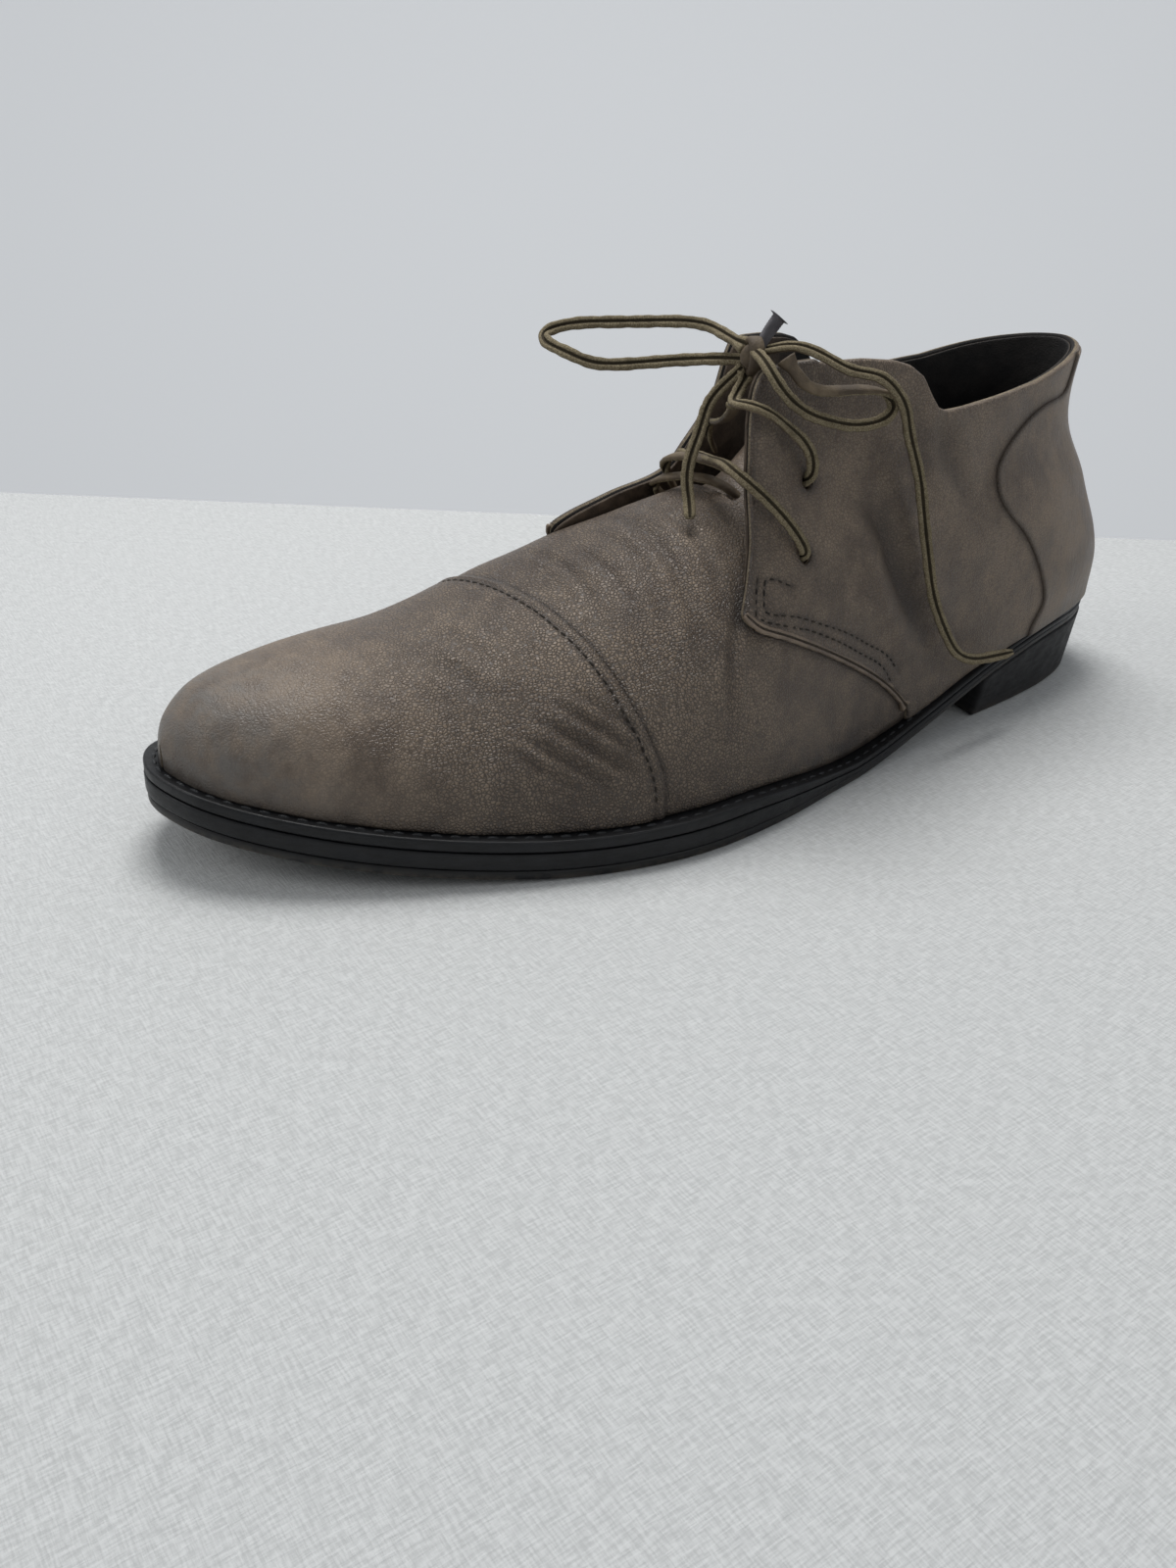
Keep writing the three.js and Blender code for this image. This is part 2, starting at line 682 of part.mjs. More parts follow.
// Lace routes: x as a share of the ball width, y of the sole's length, z of the upper's height
// above the heel seat
const barRoute = [
  [-0.0943, -0.0401, 0.5953],
  [-0.0377, -0.0369, 0.6224],
  [0.0283, -0.0353, 0.6341],
  [0.1038, -0.0359, 0.6259],
  [0.1792, -0.0385, 0.5988],
];
const crossingOut = [
  [0.3302, -0.0003, 0.4918],
  [0.3151, -0.0109, 0.5576],
  [0.2943, -0.025, 0.6188],
  [0.2698, -0.0429, 0.68],
  [0.2264, -0.0506, 0.7176],
  [0.1604, -0.0436, 0.7224],
  [0.0755, -0.0327, 0.7059],
  [-0.0189, -0.0231, 0.6918],
  [-0.0849, -0.0141, 0.6776],
];
const crossingIn = [
  [-0.2123, -0.0449, 0.5941],
  [-0.1321, -0.0462, 0.6471],
  [-0.0566, -0.0397, 0.6824],
  [0.0094, -0.0346, 0.6965],
  [0.0755, -0.0314, 0.6988],
  [0.1321, -0.0272, 0.6871],
  [0.166, -0.024, 0.6753],
];
const topLateral = [
  [0.2783, 0.0119, 0.6871],
  [0.2717, 0.0179, 0.7376],
  [0.266, 0.0087, 0.7941],
  [0.2604, -0.0096, 0.84],
  [0.2547, -0.0349, 0.8976],
  [0.2123, -0.0462, 0.9106],
  [0.1557, -0.0404, 0.8965],
  [0.1274, -0.0256, 0.92],
];
const topMedial = [
  [-0.217, 0.0353, 0.7118],
  [-0.1934, 0.0112, 0.7588],
  [-0.1226, -0.0048, 0.7788],
  [-0.0377, -0.0083, 0.7859],
  [0.0377, -0.0163, 0.8035],
  [0.1132, -0.0285, 0.8471],
  [0.1547, -0.0397, 0.8941],
];
// The knot and what hangs from it
const knotCentre = [0.1321, -0.0147, 1.0153];
const knotSize = [laceWide * 0.82, laceWide * 0.82, laceWide * 1.14];
const stubRoute = [
  [0.1321, -0.0109, 1.0235],
  [0.1358, -0.0022, 1.0706],
  [0.1415, 0.0064, 1.1176],
];
const loopLeft = [
  [0.0887, -0.0099, 0.9918],
  [0.0566, -0.0173, 0.9906],
  [0.0094, -0.0288, 0.9835],
  [-0.0283, -0.0397, 0.9765],
  [-0.0604, -0.0545, 0.9706],
  [-0.0755, -0.0705, 0.9671],
  [-0.1038, -0.1016, 0.9647],
  [-0.1321, -0.1135, 0.9706],
  [-0.1698, -0.1205, 0.9882],
  [-0.2264, -0.1244, 0.9988],
  [-0.2774, -0.1237, 1.0118],
  [-0.2962, -0.117, 1.0271],
  [-0.283, -0.1077, 1.04],
  [-0.2547, -0.0939, 1.0529],
  [-0.2075, -0.0705, 1.0588],
  [-0.1604, -0.0471, 1.0635],
  [-0.1038, -0.0266, 1.0706],
  [-0.0472, -0.016, 1.0706],
  [0.0094, -0.016, 1.0612],
  [0.0528, -0.0173, 1.0518],
  [0.0906, -0.0186, 1.0459],
];
const loopRight = [
  [0.1792, -0.0231, 1.0282],
  [0.2217, -0.0269, 1.0094],
  [0.2509, -0.025, 0.9694],
  [0.266, -0.0167, 0.9294],
  [0.2736, -0.0051, 0.8965],
  [0.2868, 0.0061, 0.8729],
  [0.2962, 0.0218, 0.8565],
  [0.3057, 0.042, 0.8424],
  [0.317, 0.0612, 0.8518],
  [0.3283, 0.0724, 0.8765],
  [0.3226, 0.0673, 0.9176],
  [0.3038, 0.0506, 0.9412],
  [0.2887, 0.033, 0.94],
  [0.2755, 0.0157, 0.94],
  [0.2642, 0.0006, 0.9576],
  [0.2491, -0.0058, 0.9929],
  [0.2226, -0.009, 1.0259],
];
const endLong = [
  [0.1849, -0.0038, 1.0518],
  [0.2123, 0.0019, 1.0635],
  [0.2453, 0.0109, 1.0541],
  [0.2783, 0.0224, 1.0235],
  [0.3057, 0.0353, 0.9976],
  [0.3377, 0.0577, 0.9859],
  [0.3585, 0.0801, 0.9059],
  [0.3443, 0.0971, 0.8024],
  [0.3377, 0.1115, 0.72],
  [0.3377, 0.1218, 0.6471],
  [0.3491, 0.1295, 0.5235],
  [0.3679, 0.1343, 0.4094],
  [0.3821, 0.1449, 0.2671],
  [0.3915, 0.1683, 0.1224],
  [0.3962, 0.1827, 0.0553],
  [0.3962, 0.2045, 0.0165],
  [0.3868, 0.242, -0.0047],
  [0.3774, 0.2734, -0.0165],
];
const endShort = [
  [0.0925, -0.0237, 0.9435],
  [0.0717, -0.0288, 0.9153],
  [0.066, -0.0397, 0.8729],
  [0.0755, -0.0474, 0.8035],
  [0.0896, -0.0609, 0.7271],
  [0.1, -0.066, 0.6565],
  [0.1179, -0.066, 0.6094],
  [0.1509, -0.0737, 0.5718],
];

function makeKnot() {
  const wrap = new THREE.SphereGeometry(1, 12, 8);
  wrap.scale(...knotSize);
  wrap.translate(...routePoint(knotCentre));
  return solidOf(wrap).add(lace(stubRoute));
}

const leather = { color: 0x6e645b, roughness: 0.62, metalness: 0 };
const lining = { color: 0x1c1a19, roughness: 0.8, metalness: 0 };
const laceLeather = { color: 0x766b56, roughness: 0.7, metalness: 0 };
const blackEdge = { color: 0x17191c, roughness: 0.45, metalness: 0 };

function addMesh(group, name, solid, finish) {
  const mesh = solid.getMesh();
  const geometry = new THREE.BufferGeometry();
  geometry.setAttribute("position", new THREE.BufferAttribute(Float32Array.from(mesh.vertProperties), 3));
  geometry.setIndex(new THREE.BufferAttribute(Uint32Array.from(mesh.triVerts), 1));
  geometry.computeVertexNormals();
  const made = new THREE.Mesh(geometry, new THREE.MeshStandardMaterial(finish));
  made.name = name;
  group.add(made);
}

const shoe = new THREE.Group();
addMesh(shoe, "outsole", outsole, blackEdge);
addMesh(shoe, "midsole", midsole, blackEdge);
addMesh(shoe, "welt", welt, blackEdge);
addMesh(shoe, "heel", heel, blackEdge);
addMesh(shoe, "insole", insole, lining);
addMesh(shoe, "upper", makeUpper(), leather);
addMesh(shoe, "tongue", tongue, leather);
addMesh(shoe, "lace_bar", lace(barRoute), laceLeather);
addMesh(shoe, "lace_crossing", lace(crossingOut).add(lace(crossingIn)), laceLeather);
addMesh(shoe, "lace_top", lace(topLateral).add(lace(topMedial)), laceLeather);
addMesh(shoe, "lace_knot", makeKnot(), laceLeather);
addMesh(shoe, "lace_loop_left", lace(loopLeft), laceLeather);
addMesh(shoe, "lace_loop_right", lace(loopRight), laceLeather);
addMesh(shoe, "lace_end_long", lace(endLong), laceLeather);
addMesh(shoe, "lace_end_short", lace(endShort), laceLeather);
export default shoe;
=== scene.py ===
# A worn grey-brown leather lace-up shoe for the left foot. Units in the tables are millimetres.
import math
import bpy
import numpy as np
from mathutils import Matrix, Vector
from mathutils.geometry import delaunay_2d_cdt


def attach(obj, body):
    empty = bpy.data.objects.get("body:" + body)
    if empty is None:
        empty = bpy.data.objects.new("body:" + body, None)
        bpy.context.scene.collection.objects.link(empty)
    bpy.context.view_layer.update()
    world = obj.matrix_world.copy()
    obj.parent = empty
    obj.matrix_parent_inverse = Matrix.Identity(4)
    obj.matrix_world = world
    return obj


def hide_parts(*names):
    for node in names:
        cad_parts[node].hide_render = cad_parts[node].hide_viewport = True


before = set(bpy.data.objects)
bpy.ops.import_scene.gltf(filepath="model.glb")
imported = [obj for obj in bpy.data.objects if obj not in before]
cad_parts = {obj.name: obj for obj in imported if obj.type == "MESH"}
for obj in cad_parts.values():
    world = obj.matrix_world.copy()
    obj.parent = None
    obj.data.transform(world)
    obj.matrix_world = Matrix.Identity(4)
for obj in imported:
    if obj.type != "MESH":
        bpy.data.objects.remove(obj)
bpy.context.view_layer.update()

MM = 0.001
rng = np.random.default_rng(7)

# Camera, at the photograph's angle to the shoe
CAM = np.array([272.307, -238.112, 173.298])
CAM_RIGHT = (0.57320475, 0.81861204, 0.03620284)
CAM_UP = (-0.40133771, 0.24195502, 0.88339448)
CAM_AHEAD = (-0.7143979, 0.52089547, -0.46722965)
camera = bpy.data.objects.new("camera", bpy.data.cameras.new("camera"))
bpy.context.scene.collection.objects.link(camera)
camera.matrix_world = Matrix([
    (CAM_RIGHT[i], CAM_UP[i], -CAM_AHEAD[i], CAM[i] * MM) for i in range(3)
] + [(0, 0, 0, 1)])
camera.data.sensor_fit = "HORIZONTAL"
camera.data.sensor_width = 36
camera.data.lens = 36 * 1387.885 / 1200
camera.data.clip_start = 0.02
camera.data.clip_end = 20
bpy.context.scene.camera = camera

# Small tools


def new_object(name, mesh, materials, smooth=True):
    obj = bpy.data.objects.new(name, mesh)
    bpy.context.scene.collection.objects.link(obj)
    for m in materials:
        mesh.materials.append(m)
    if smooth:
        mesh.shade_smooth()
    return obj


def make_mesh(name, points, faces, slots=None):
    mesh = bpy.data.meshes.new(name)
    mesh.from_pydata((np.asarray(points) * MM).tolist(), [], faces)
    if slots is not None:
        mesh.polygons.foreach_set("material_index", np.asarray(slots, np.int32))
    mesh.update()
    return mesh


def attribute(obj, name, values):
    layer = obj.data.attributes.new(name, "FLOAT", "POINT")
    layer.data.foreach_set("value", np.asarray(values, np.float32))


def look_up(xs, ys, v):
    """Smooth interpolation in a table, as in the source of the solids."""
    xs, ys, v = np.asarray(xs, float), np.asarray(ys, float), np.asarray(v, float)
    slope = np.empty_like(ys)
    slope[1:-1] = (ys[2:] - ys[:-2]) / (xs[2:] - xs[:-2])
    slope[0] = (ys[1] - ys[0]) / (xs[1] - xs[0])
    slope[-1] = (ys[-1] - ys[-2]) / (xs[-1] - xs[-2])
    c = np.clip(v, xs[0], xs[-1])
    i = np.clip(np.searchsorted(xs, c, side="left") - 1, 0, len(xs) - 2)
    span = xs[i + 1] - xs[i]
    t = (c - xs[i]) / span
    h = t * t * (3 - 2 * t)
    return (ys[i] * (1 - h) + ys[i + 1] * h + slope[i] * span * t * (1 - t) ** 2
            - slope[i + 1] * span * t * t * (1 - t))


def smooth_step(low, high, v):
    t = np.clip((np.asarray(v, float) - low) / (high - low), 0, 1)
    return t * t * (3 - 2 * t)


def catmull(points, closed=False, count=400):
    """A centripetal curve through the points, at evenly spaced lengths."""
    p = np.asarray(points, float)
    n = len(p)
    out = []
    spans = n if closed else n - 1
    for i in range(spans):
        if closed:
            q = [p[(i + k) % n] for k in (-1, 0, 1, 2)]
        else:
            q = [p[i - 1] if i else 2 * p[0] - p[1], p[i], p[i + 1],
                 p[i + 2] if i + 2 < n else 2 * p[-1] - p[-2]]
        d = [max(np.linalg.norm(q[k + 1] - q[k]) ** 0.5, 1e-4) for k in range(3)]
        t1 = ((q[1] - q[0]) / d[0] - (q[2] - q[0]) / (d[0] + d[1]) + (q[2] - q[1]) / d[1]) * d[1]
        t2 = ((q[2] - q[1]) / d[1] - (q[3] - q[1]) / (d[1] + d[2]) + (q[3] - q[2]) / d[2]) * d[1]
        t = np.linspace(0, 1, 40, endpoint=False)[:, None]
        out.append(q[1] + t1 * t + (-3 * q[1] + 3 * q[2] - 2 * t1 - t2) * t ** 2
                   + (2 * q[1] - 2 * q[2] + t1 + t2) * t ** 3)
    fine = np.vstack(out + [p[:1] if closed else p[-1:]])
    run = np.r_[0, np.cumsum(np.linalg.norm(np.diff(fine, axis=0), axis=1))]
    at = np.linspace(0, run[-1], count, endpoint=not closed)
    return np.stack([np.interp(at, run, fine[:, k]) for k in range(p.shape[1])], 1)


def distance_to_line(points, line):
    """Distance from each point to a polyline, and how far along it the nearest place is, 0 to 1."""
    points, line = np.asarray(points, float), np.asarray(line, float)
    seg = np.diff(line, axis=0)
    length = np.linalg.norm(seg, axis=1)
    run = np.r_[0, np.cumsum(length)]
    best = np.full(len(points), 1e9)
    along = np.zeros(len(points))
    low, high = line.min(0) - 14, line.max(0) + 14
    near = np.where(((points > low) & (points < high)).all(1))[0]
    for k in range(len(seg)):
        d = points[near] - line[k]
        t = np.clip(d @ seg[k] / max(length[k] ** 2, 1e-9), 0, 1)
        gap = np.linalg.norm(d - t[:, None] * seg[k], axis=1)
        closer = gap < best[near]
        best[near[closer]] = gap[closer]
        along[near[closer]] = (run[k] + t[closer] * length[k]) / run[-1]
    return best, along


# The shoe's own sizes and tables

LENGTH, BALL, TOE_SPRING, HEEL_HEIGHT = 312, 106, 13.5, 25
SEAM, WELT_WIDTH, HEEL_LENGTH, HEEL_TAPER = 0.3, 9, 74, 2.6
UPPER_HEIGHT, BACK_LEAN = 85, 20
OUTLINE = np.array([
    (0.01, 0.105, 0.113), (0.03, 0.172, 0.19), (0.06, 0.224, 0.25), (0.1, 0.265, 0.292),
    (0.16, 0.3, 0.312), (0.25, 0.331, 0.302), (0.35, 0.372, 0.272), (0.45, 0.429, 0.275),
    (0.55, 0.488, 0.34), (0.63, 0.504, 0.43), (0.69, 0.48, 0.488), (0.75, 0.428, 0.514),
    (0.82, 0.34, 0.508), (0.88, 0.249, 0.473), (0.93, 0.155, 0.415), (0.97, 0.052, 0.332),
    (0.99, -0.035, 0.258)])
TIP = -0.15
RIDGE = np.array([
    (0.38, 1.35, 0.04), (0.42, 1.22, 0.05), (0.46, 1.05, 0.06), (0.5, 0.88, 0.07), (0.55, 0.78, 0.08),
    (0.6, 0.71, 0.09), (0.65, 0.645, 0.09), (0.7, 0.565, 0.08), (0.75, 0.487, 0.06), (0.8, 0.425, 0.04),
    (0.85, 0.384, 0.02), (0.9, 0.336, 0), (0.94, 0.282, 0), (0.97, 0.225, 0), (0.99, 0.15, 0), (1, 0.075, 0)])
WALL_HEIGHTS = np.array([0, 0.2, 0.45, 0.67, 0.9, 1.25])
WALL_LATERAL = np.array([
    (0, 1.0, 0.88, 0.66, 0.68, 0.78), (0.15, 1.0, 0.92, 0.74, 0.74, 0.81), (0.33, 0.99, 0.97, 0.87, 0.76, 0.72),
    (0.45, 0.99, 0.92, 0.79, 0.6, 0.52), (0.55, 0.99, 0.84, 0.64, 0.49, 0.42), (0.66, 0.97, 0.76, 0.5, 0.42, 0.36)])
WALL_MEDIAL = np.array([
    (0, 1.0, 0.88, 0.7, 0.72, 0.82), (0.15, 1.0, 0.92, 0.76, 0.73, 0.8), (0.33, 1.0, 1.02, 0.98, 0.85, 0.8),
    (0.45, 1.0, 1.0, 0.94, 0.75, 0.68), (0.55, 0.99, 0.86, 0.58, 0.47, 0.44), (0.66, 0.97, 0.72, 0.34, 0.3, 0.28)])
BACK = np.array([(0, 0), (0.18, 0), (0.45, 0.55), (0.67, 1), (0.9, 1), (1.25, 0.8)])
TOPLINE = [(0, 0.96), (0.04, 0.96), (0.09, 0.925), (0.13, 0.9), (0.19, 0.86), (0.25, 0.84), (0.3, 0.825),
           (0.325, 0.822), (0.336, 0.835), (0.345, 0.875), (0.356, 0.935), (0.372, 0.972), (0.39, 0.99), (0.42, 1.0)]
FACING_LATERAL = [(0.47, 1.01), (0.512, 1.0), (0.524, 0.985), (0.53, 0.95), (0.534, 0.88), (0.537, 0.73), (0.545, 0.52),
                  (0.563, 0.37), (0.567, 0.34), (0.563, 0.312)]
LOWER_LATERAL = [(0.534, 0.269), (0.505, 0.221), (0.472, 0.162), (0.435, 0.088), (0.402, 0.014), (0.377, -0.054),
                 (0.357, -0.12), (0.35, -0.16)]
FACING_MEDIAL = [(0.44, 1.0), (0.452, 0.99), (0.458, 0.95), (0.462, 0.9), (0.47, 0.81), (0.482, 0.75), (0.497, 0.68),
                 (0.515, 0.605), (0.58, 0.555), (0.622, 0.505), (0.634, 0.47), (0.63, 0.43)]
LOWER_MEDIAL = [(0.6, 0.35), (0.55, 0.26), (0.5, 0.17), (0.45, 0.06), (0.41, -0.05), (0.38, -0.14), (0.37, -0.17)]
COUNTER = [(0.105, 0.92), (0.116, 0.802), (0.167, 0.766), (0.203, 0.719), (0.231, 0.655), (0.244, 0.593),
           (0.244, 0.516), (0.234, 0.458), (0.206, 0.369), (0.186, 0.281), (0.169, 0.184), (0.161, 0.096),
           (0.172, 0.02), (0.175, -0.03)]
VAMP_EDGE = np.array([(-0.3, 0.325), (-0.12, 0.33), (-0.03, 0.35), (0.06, 0.38), (0.15, 0.42), (0.24, 0.46),
                      (0.33, 0.5), (0.45, 0.522), (1.4, 0.522)])
CAP_EDGE = np.array([(-0.6, 0.7), (-0.45, 0.712), (-0.33, 0.716), (-0.21, 0.713), (-0.09, 0.706), (0.032, 0.701),
                     (0.165, 0.696), (0.292, 0.687), (0.374, 0.679), (0.42, 0.67), (0.445, 0.663), (0.6, 0.655)])
HOLES = [(1, 0.494, 0.461), (1, 0.478, 0.66), (-1, 0.535, 0.52), (-1, 0.46, 0.7)]

y_at = lambda s: LENGTH / 2 - np.asarray(s, float) * LENGTH
share_at = lambda y: (LENGTH / 2 - np.asarray(y, float)) / LENGTH
side_z = lambda up: HEEL_HEIGHT + np.asarray(up, float) * UPPER_HEIGHT
front_blend = lambda s: smooth_step(0.42, 0.6, s)
feather = lambda s: 1.6 + (4.8 - 1.6) * smooth_step(0.15, 0.42, s)
WAIST_STACK = 2.0 + 1.3 + 1.3 + 2 * SEAM


def sole_bottom(s):
    rise = (HEEL_HEIGHT - WAIST_STACK) * (1 - smooth_step(0.1, 0.445, s))
    past = np.maximum(np.asarray(s, float) - 0.7, 0) / 0.3
    return rise + TOE_SPRING * past ** 2


outsole_top = lambda s: sole_bottom(s) + 2.0 + 0.6 * front_blend(s)
midsole_top = lambda s: outsole_top(s) + SEAM + 1.3 + 3.1 * front_blend(s)
sole_top = lambda s: midsole_top(s) + SEAM + 1.3 + 1.7 * front_blend(s)

outline = catmull(
    [(0, y_at(0))] + [(-m * BALL, y_at(s)) for s, l, m in OUTLINE] + [(TIP * BALL, y_at(1))]
    + [(l * BALL, y_at(s)) for s, l, m in OUTLINE[::-1]], closed=True, count=960)
tangent = np.roll(outline, -1, 0) - np.roll(outline, 1, 0)
tangent /= np.linalg.norm(tangent, axis=1)[:, None]
inward = np.stack([-tangent[:, 1], tangent[:, 0]], 1)


def inset_outline(inset):
    d = inset(share_at(outline[:, 1])) if callable(inset) else inset
    return outline + inward * np.reshape(d, (-1, 1))


class Plan:
    """Widths and edge lengths of an inset outline."""

    def __init__(self, inset):
        p = inset_outline(inset)
        back, front = int(p[:, 1].argmax()), int(p[:, 1].argmin())
        n = len(p)
        walk = lambda a, b: p[np.arange(a, b + 1 if b >= a else b + n + 1) % n]
        self.sides = {-1: walk(back, front), 1: walk(front, back)[::-1]}
        self.back, self.front = p[back, 1], p[front, 1]
        self.arcs = {k: np.r_[0, np.cumsum(np.linalg.norm(np.diff(v, axis=0), axis=1))]
                     for k, v in self.sides.items()}

    def x(self, side, y):
        line = self.sides[side]
        order = np.argsort(line[:, 1])
        return np.interp(y, line[order, 1], line[order, 0])

    def arc(self, side, y):
        line = self.sides[side]
        order = np.argsort(line[:, 1])
        return np.interp(y, line[order, 1], self.arcs[side][order])

    def at_arc(self, side, a):
        line, run = self.sides[side], self.arcs[side]
        return np.interp(a, run, line[:, 0]), np.interp(a, run, line[:, 1])


upper_plan = Plan(feather)


def vamp_point(y, turn):
    """The vamp's form at a place along the shoe and a turn from the outer side, 0, to the inner, pi."""
    s = share_at(y)
    l, m = upper_plan.x(1, y), upper_plan.x(-1, y)
    own = 1 - (y - upper_plan.front) / LENGTH
    height = np.maximum(look_up(RIDGE[:, 0], RIDGE[:, 1], own) * UPPER_HEIGHT, 0.5)
    ridge = (l + m) / 2 - look_up(RIDGE[:, 0], RIDGE[:, 2], s) * (l - m)
    side = np.where(np.cos(turn) >= 0, l, m)
    out = np.abs(np.cos(turn)) ** 0.86
    up = np.maximum(np.sin(turn), 0) ** 0.96
    return np.stack([ridge + (side - ridge) * out, y, sole_top(s) + SEAM + height * up], -1)


def wall_share(side, s, up):
    table = WALL_LATERAL if side > 0 else WALL_MEDIAL
    columns = [np.ones_like(s)] + [look_up(table[:, 0], table[:, k], s) for k in range(1, 6)]
    v = np.stack(columns)
    h = WALL_HEIGHTS
    slope = np.empty_like(v)
    slope[1:-1] = (v[2:] - v[:-2]) / (h[2:] - h[:-2])[:, None]
    slope[0] = (v[1] - v[0]) / (h[1] - h[0])
    slope[-1] = (v[-1] - v[-2]) / (h[-1] - h[-2])
    c = np.clip(up, 0, 1.25)
    i = np.clip(np.searchsorted(h, c) - 1, 0, 4)
    col = np.arange(len(s))
    span = h[i + 1] - h[i]
    t = (c - h[i]) / span
    b = t * t * (3 - 2 * t)
    return (v[i, col] * (1 - b) + v[i + 1, col] * b + slope[i, col] * span * t * (1 - t) ** 2
            - slope[i + 1, col] * span * t * t * (1 - t))


def quarter_point(a, z):
    """The quarters' form: a is the length along the sole's edge from the back, + on the outer side."""
    a, z = np.asarray(a, float), np.asarray(z, float)
    out = np.empty((len(a), 3))
    for side in (-1, 1):
        pick = (a >= 0) if side > 0 else (a < 0)
        if not pick.any():
            continue
        x, y = upper_plan.at_arc(side, np.abs(a[pick]))
        s = share_at(y)
        up = (z[pick] - sole_top(np.maximum(s, 0)) - SEAM) / UPPER_HEIGHT
        lean = look_up(BACK[:, 0], BACK[:, 1], np.maximum(up, 0)) * BACK_LEAN * (1 - smooth_step(0, 0.42, s))
        out[pick] = np.stack([x * wall_share(side, s, up), y - lean, z[pick]], -1)
    return out


def quarter_normal(a, z, step=0.6):
    u = quarter_point(a + step, z) - quarter_point(a - step, z)
    v = quarter_point(a, z + step) - quarter_point(a, z - step)
    n = np.cross(u, v)
    return -n / np.maximum(np.linalg.norm(n, axis=1), 1e-9)[:, None]


# Creases, placed in the shoe's own sizes

# Each is (points as share, x, z; half width; depth, which also sets the painted shade in the crease; 1 if it also has
# raised sides)
CREASES = [
    # soft trough down the outer quarter, with painted shade along it
    ([(0.419, 27.5, 77), (0.405, 29.8, 71.5), (0.397, 31.7, 66.3), (0.386, 34.6, 56.5), (0.365, 36.6, 45.9),
      (0.324, 36.7, 30.5)], 4.2, 2.6, 1),
    # a fold below the collar
    ([(0.335, 26.7, 94.6), (0.316, 28.3, 81.4), (0.283, 30.2, 69.3)], 3.4, 0.9, 1),
    ([(0.375, 25, 104), (0.362, 28.3, 90), (0.345, 30.6, 78)], 4, 0.6, 1),
    # waves over the vamp, in front of the throat and the quarter's corner
    ([(0.6, -10, 64), (0.598, 2, 64), (0.6, 14, 60), (0.606, 26, 52), (0.615, 35, 40)], 1.7, 0.6, 1),
    ([(0.625, -6, 62), (0.622, 8, 60), (0.626, 20, 54), (0.635, 32, 42)], 1.3, 0.35, 1),
    ([(0.648, -2, 58), (0.645, 10, 56), (0.65, 22, 50), (0.66, 33, 38)], 1.5, 0.45, 1),
    ([(0.575, 0, 68), (0.572, 12, 65), (0.575, 24, 57), (0.582, 33, 46)], 1.4, 0.4, 1),
    ([(0.668, -14, 52), (0.664, -2, 55), (0.667, 10, 52), (0.676, 22, 45)], 1.2, 0.35, 1),
    ([(0.56, 22, 62), (0.568, 30, 52), (0.59, 37, 40), (0.6, 42, 28)], 1.5, 0.7, 1),
    # creases across the rear of the cap
    ([(0.749, 30.9, 37.4), (0.719, 39, 30.8), (0.685, 44.9, 23.2)], 1.2, 0.85, 1),
    ([(0.765, 30, 33), (0.735, 38, 27.5), (0.7, 43.5, 20)], 1.1, 0.6, 1),
    ([(0.735, 30, 41), (0.708, 38, 34.5), (0.68, 43, 27)], 1.1, 0.65, 1),
    ([(0.722, 30, 43.5), (0.7, 37, 38), (0.672, 42.5, 30)], 1.0, 0.5, 1),
    ([(0.782, 27, 30), (0.757, 34, 26), (0.725, 40, 20)], 1.0, 0.4, 1),
    ([(0.8, 4, 38.5), (0.785, 12, 37.5), (0.775, 20, 34.5)], 2.2, 0.6, 1),
    ([(0.775, -4, 42), (0.765, 6, 42.5), (0.76, 15, 40)], 2, 0.45, 1),
]


def settle(x, y, z):
    """The nearest place on the leather's form."""
    if share_at(y) > 0.56:
        p = vamp_point(np.full(400, y), np.linspace(0, math.pi, 400))
    else:
        a, h = np.meshgrid(np.arange(90, 210, 1.0), np.arange(14, 108, 1.0))
        p = quarter_point(a.ravel(), h.ravel())
    gap = (p[:, 0] - x) ** 2 + (p[:, 1] - y) ** 2 + (p[:, 2] - z) ** 2
    return p[int(gap.argmin())]


crease_lines = []
for rows, width, depth, raised in CREASES:
    line = [settle(x, float(y_at(s)), z) for s, x, z in rows]
    crease_lines.append((catmull(line, count=40), width, depth, raised))


def crease_depth(points):
    """How far the leather moves out (+) or in (-) at each point, and how much painted shade, with some dirt, lies in
    the creases there.
    """
    move = np.zeros(len(points))
    dark = np.zeros(len(points))
    for line, width, depth, raised in crease_lines:
        gap, along = distance_to_line(points, line)
        fade = np.clip(1 - np.abs(2 * along - 1) ** 3, 0, 1)
        fade[(along <= 0.001) | (along >= 0.999)] = 0
        trough = np.exp(-(gap / width) ** 2) * fade
        move -= depth * trough
        if raised:
            move += 0.45 * depth * np.exp(-((gap - 2.1 * width) / width) ** 2) * fade
        # painted shade in the crease, with some dirt: this darkens the leather's colour
        dark += 0.6 * min(depth, 1.4) * trough
    # long soft waves, as in worn leather that has lost its tightness
    x, y, z = points.T
    move += 0.35 * np.sin(x / 9.3 + 1.3 + 0.5 * np.sin(y / 13)) * np.sin(y / 11.7 + z / 15.1)
    move += 0.16 * np.sin(y / 4.9 + x / 6.1) * np.sin(z / 5.3 - x / 7.7)
    return move, dark


# Materials


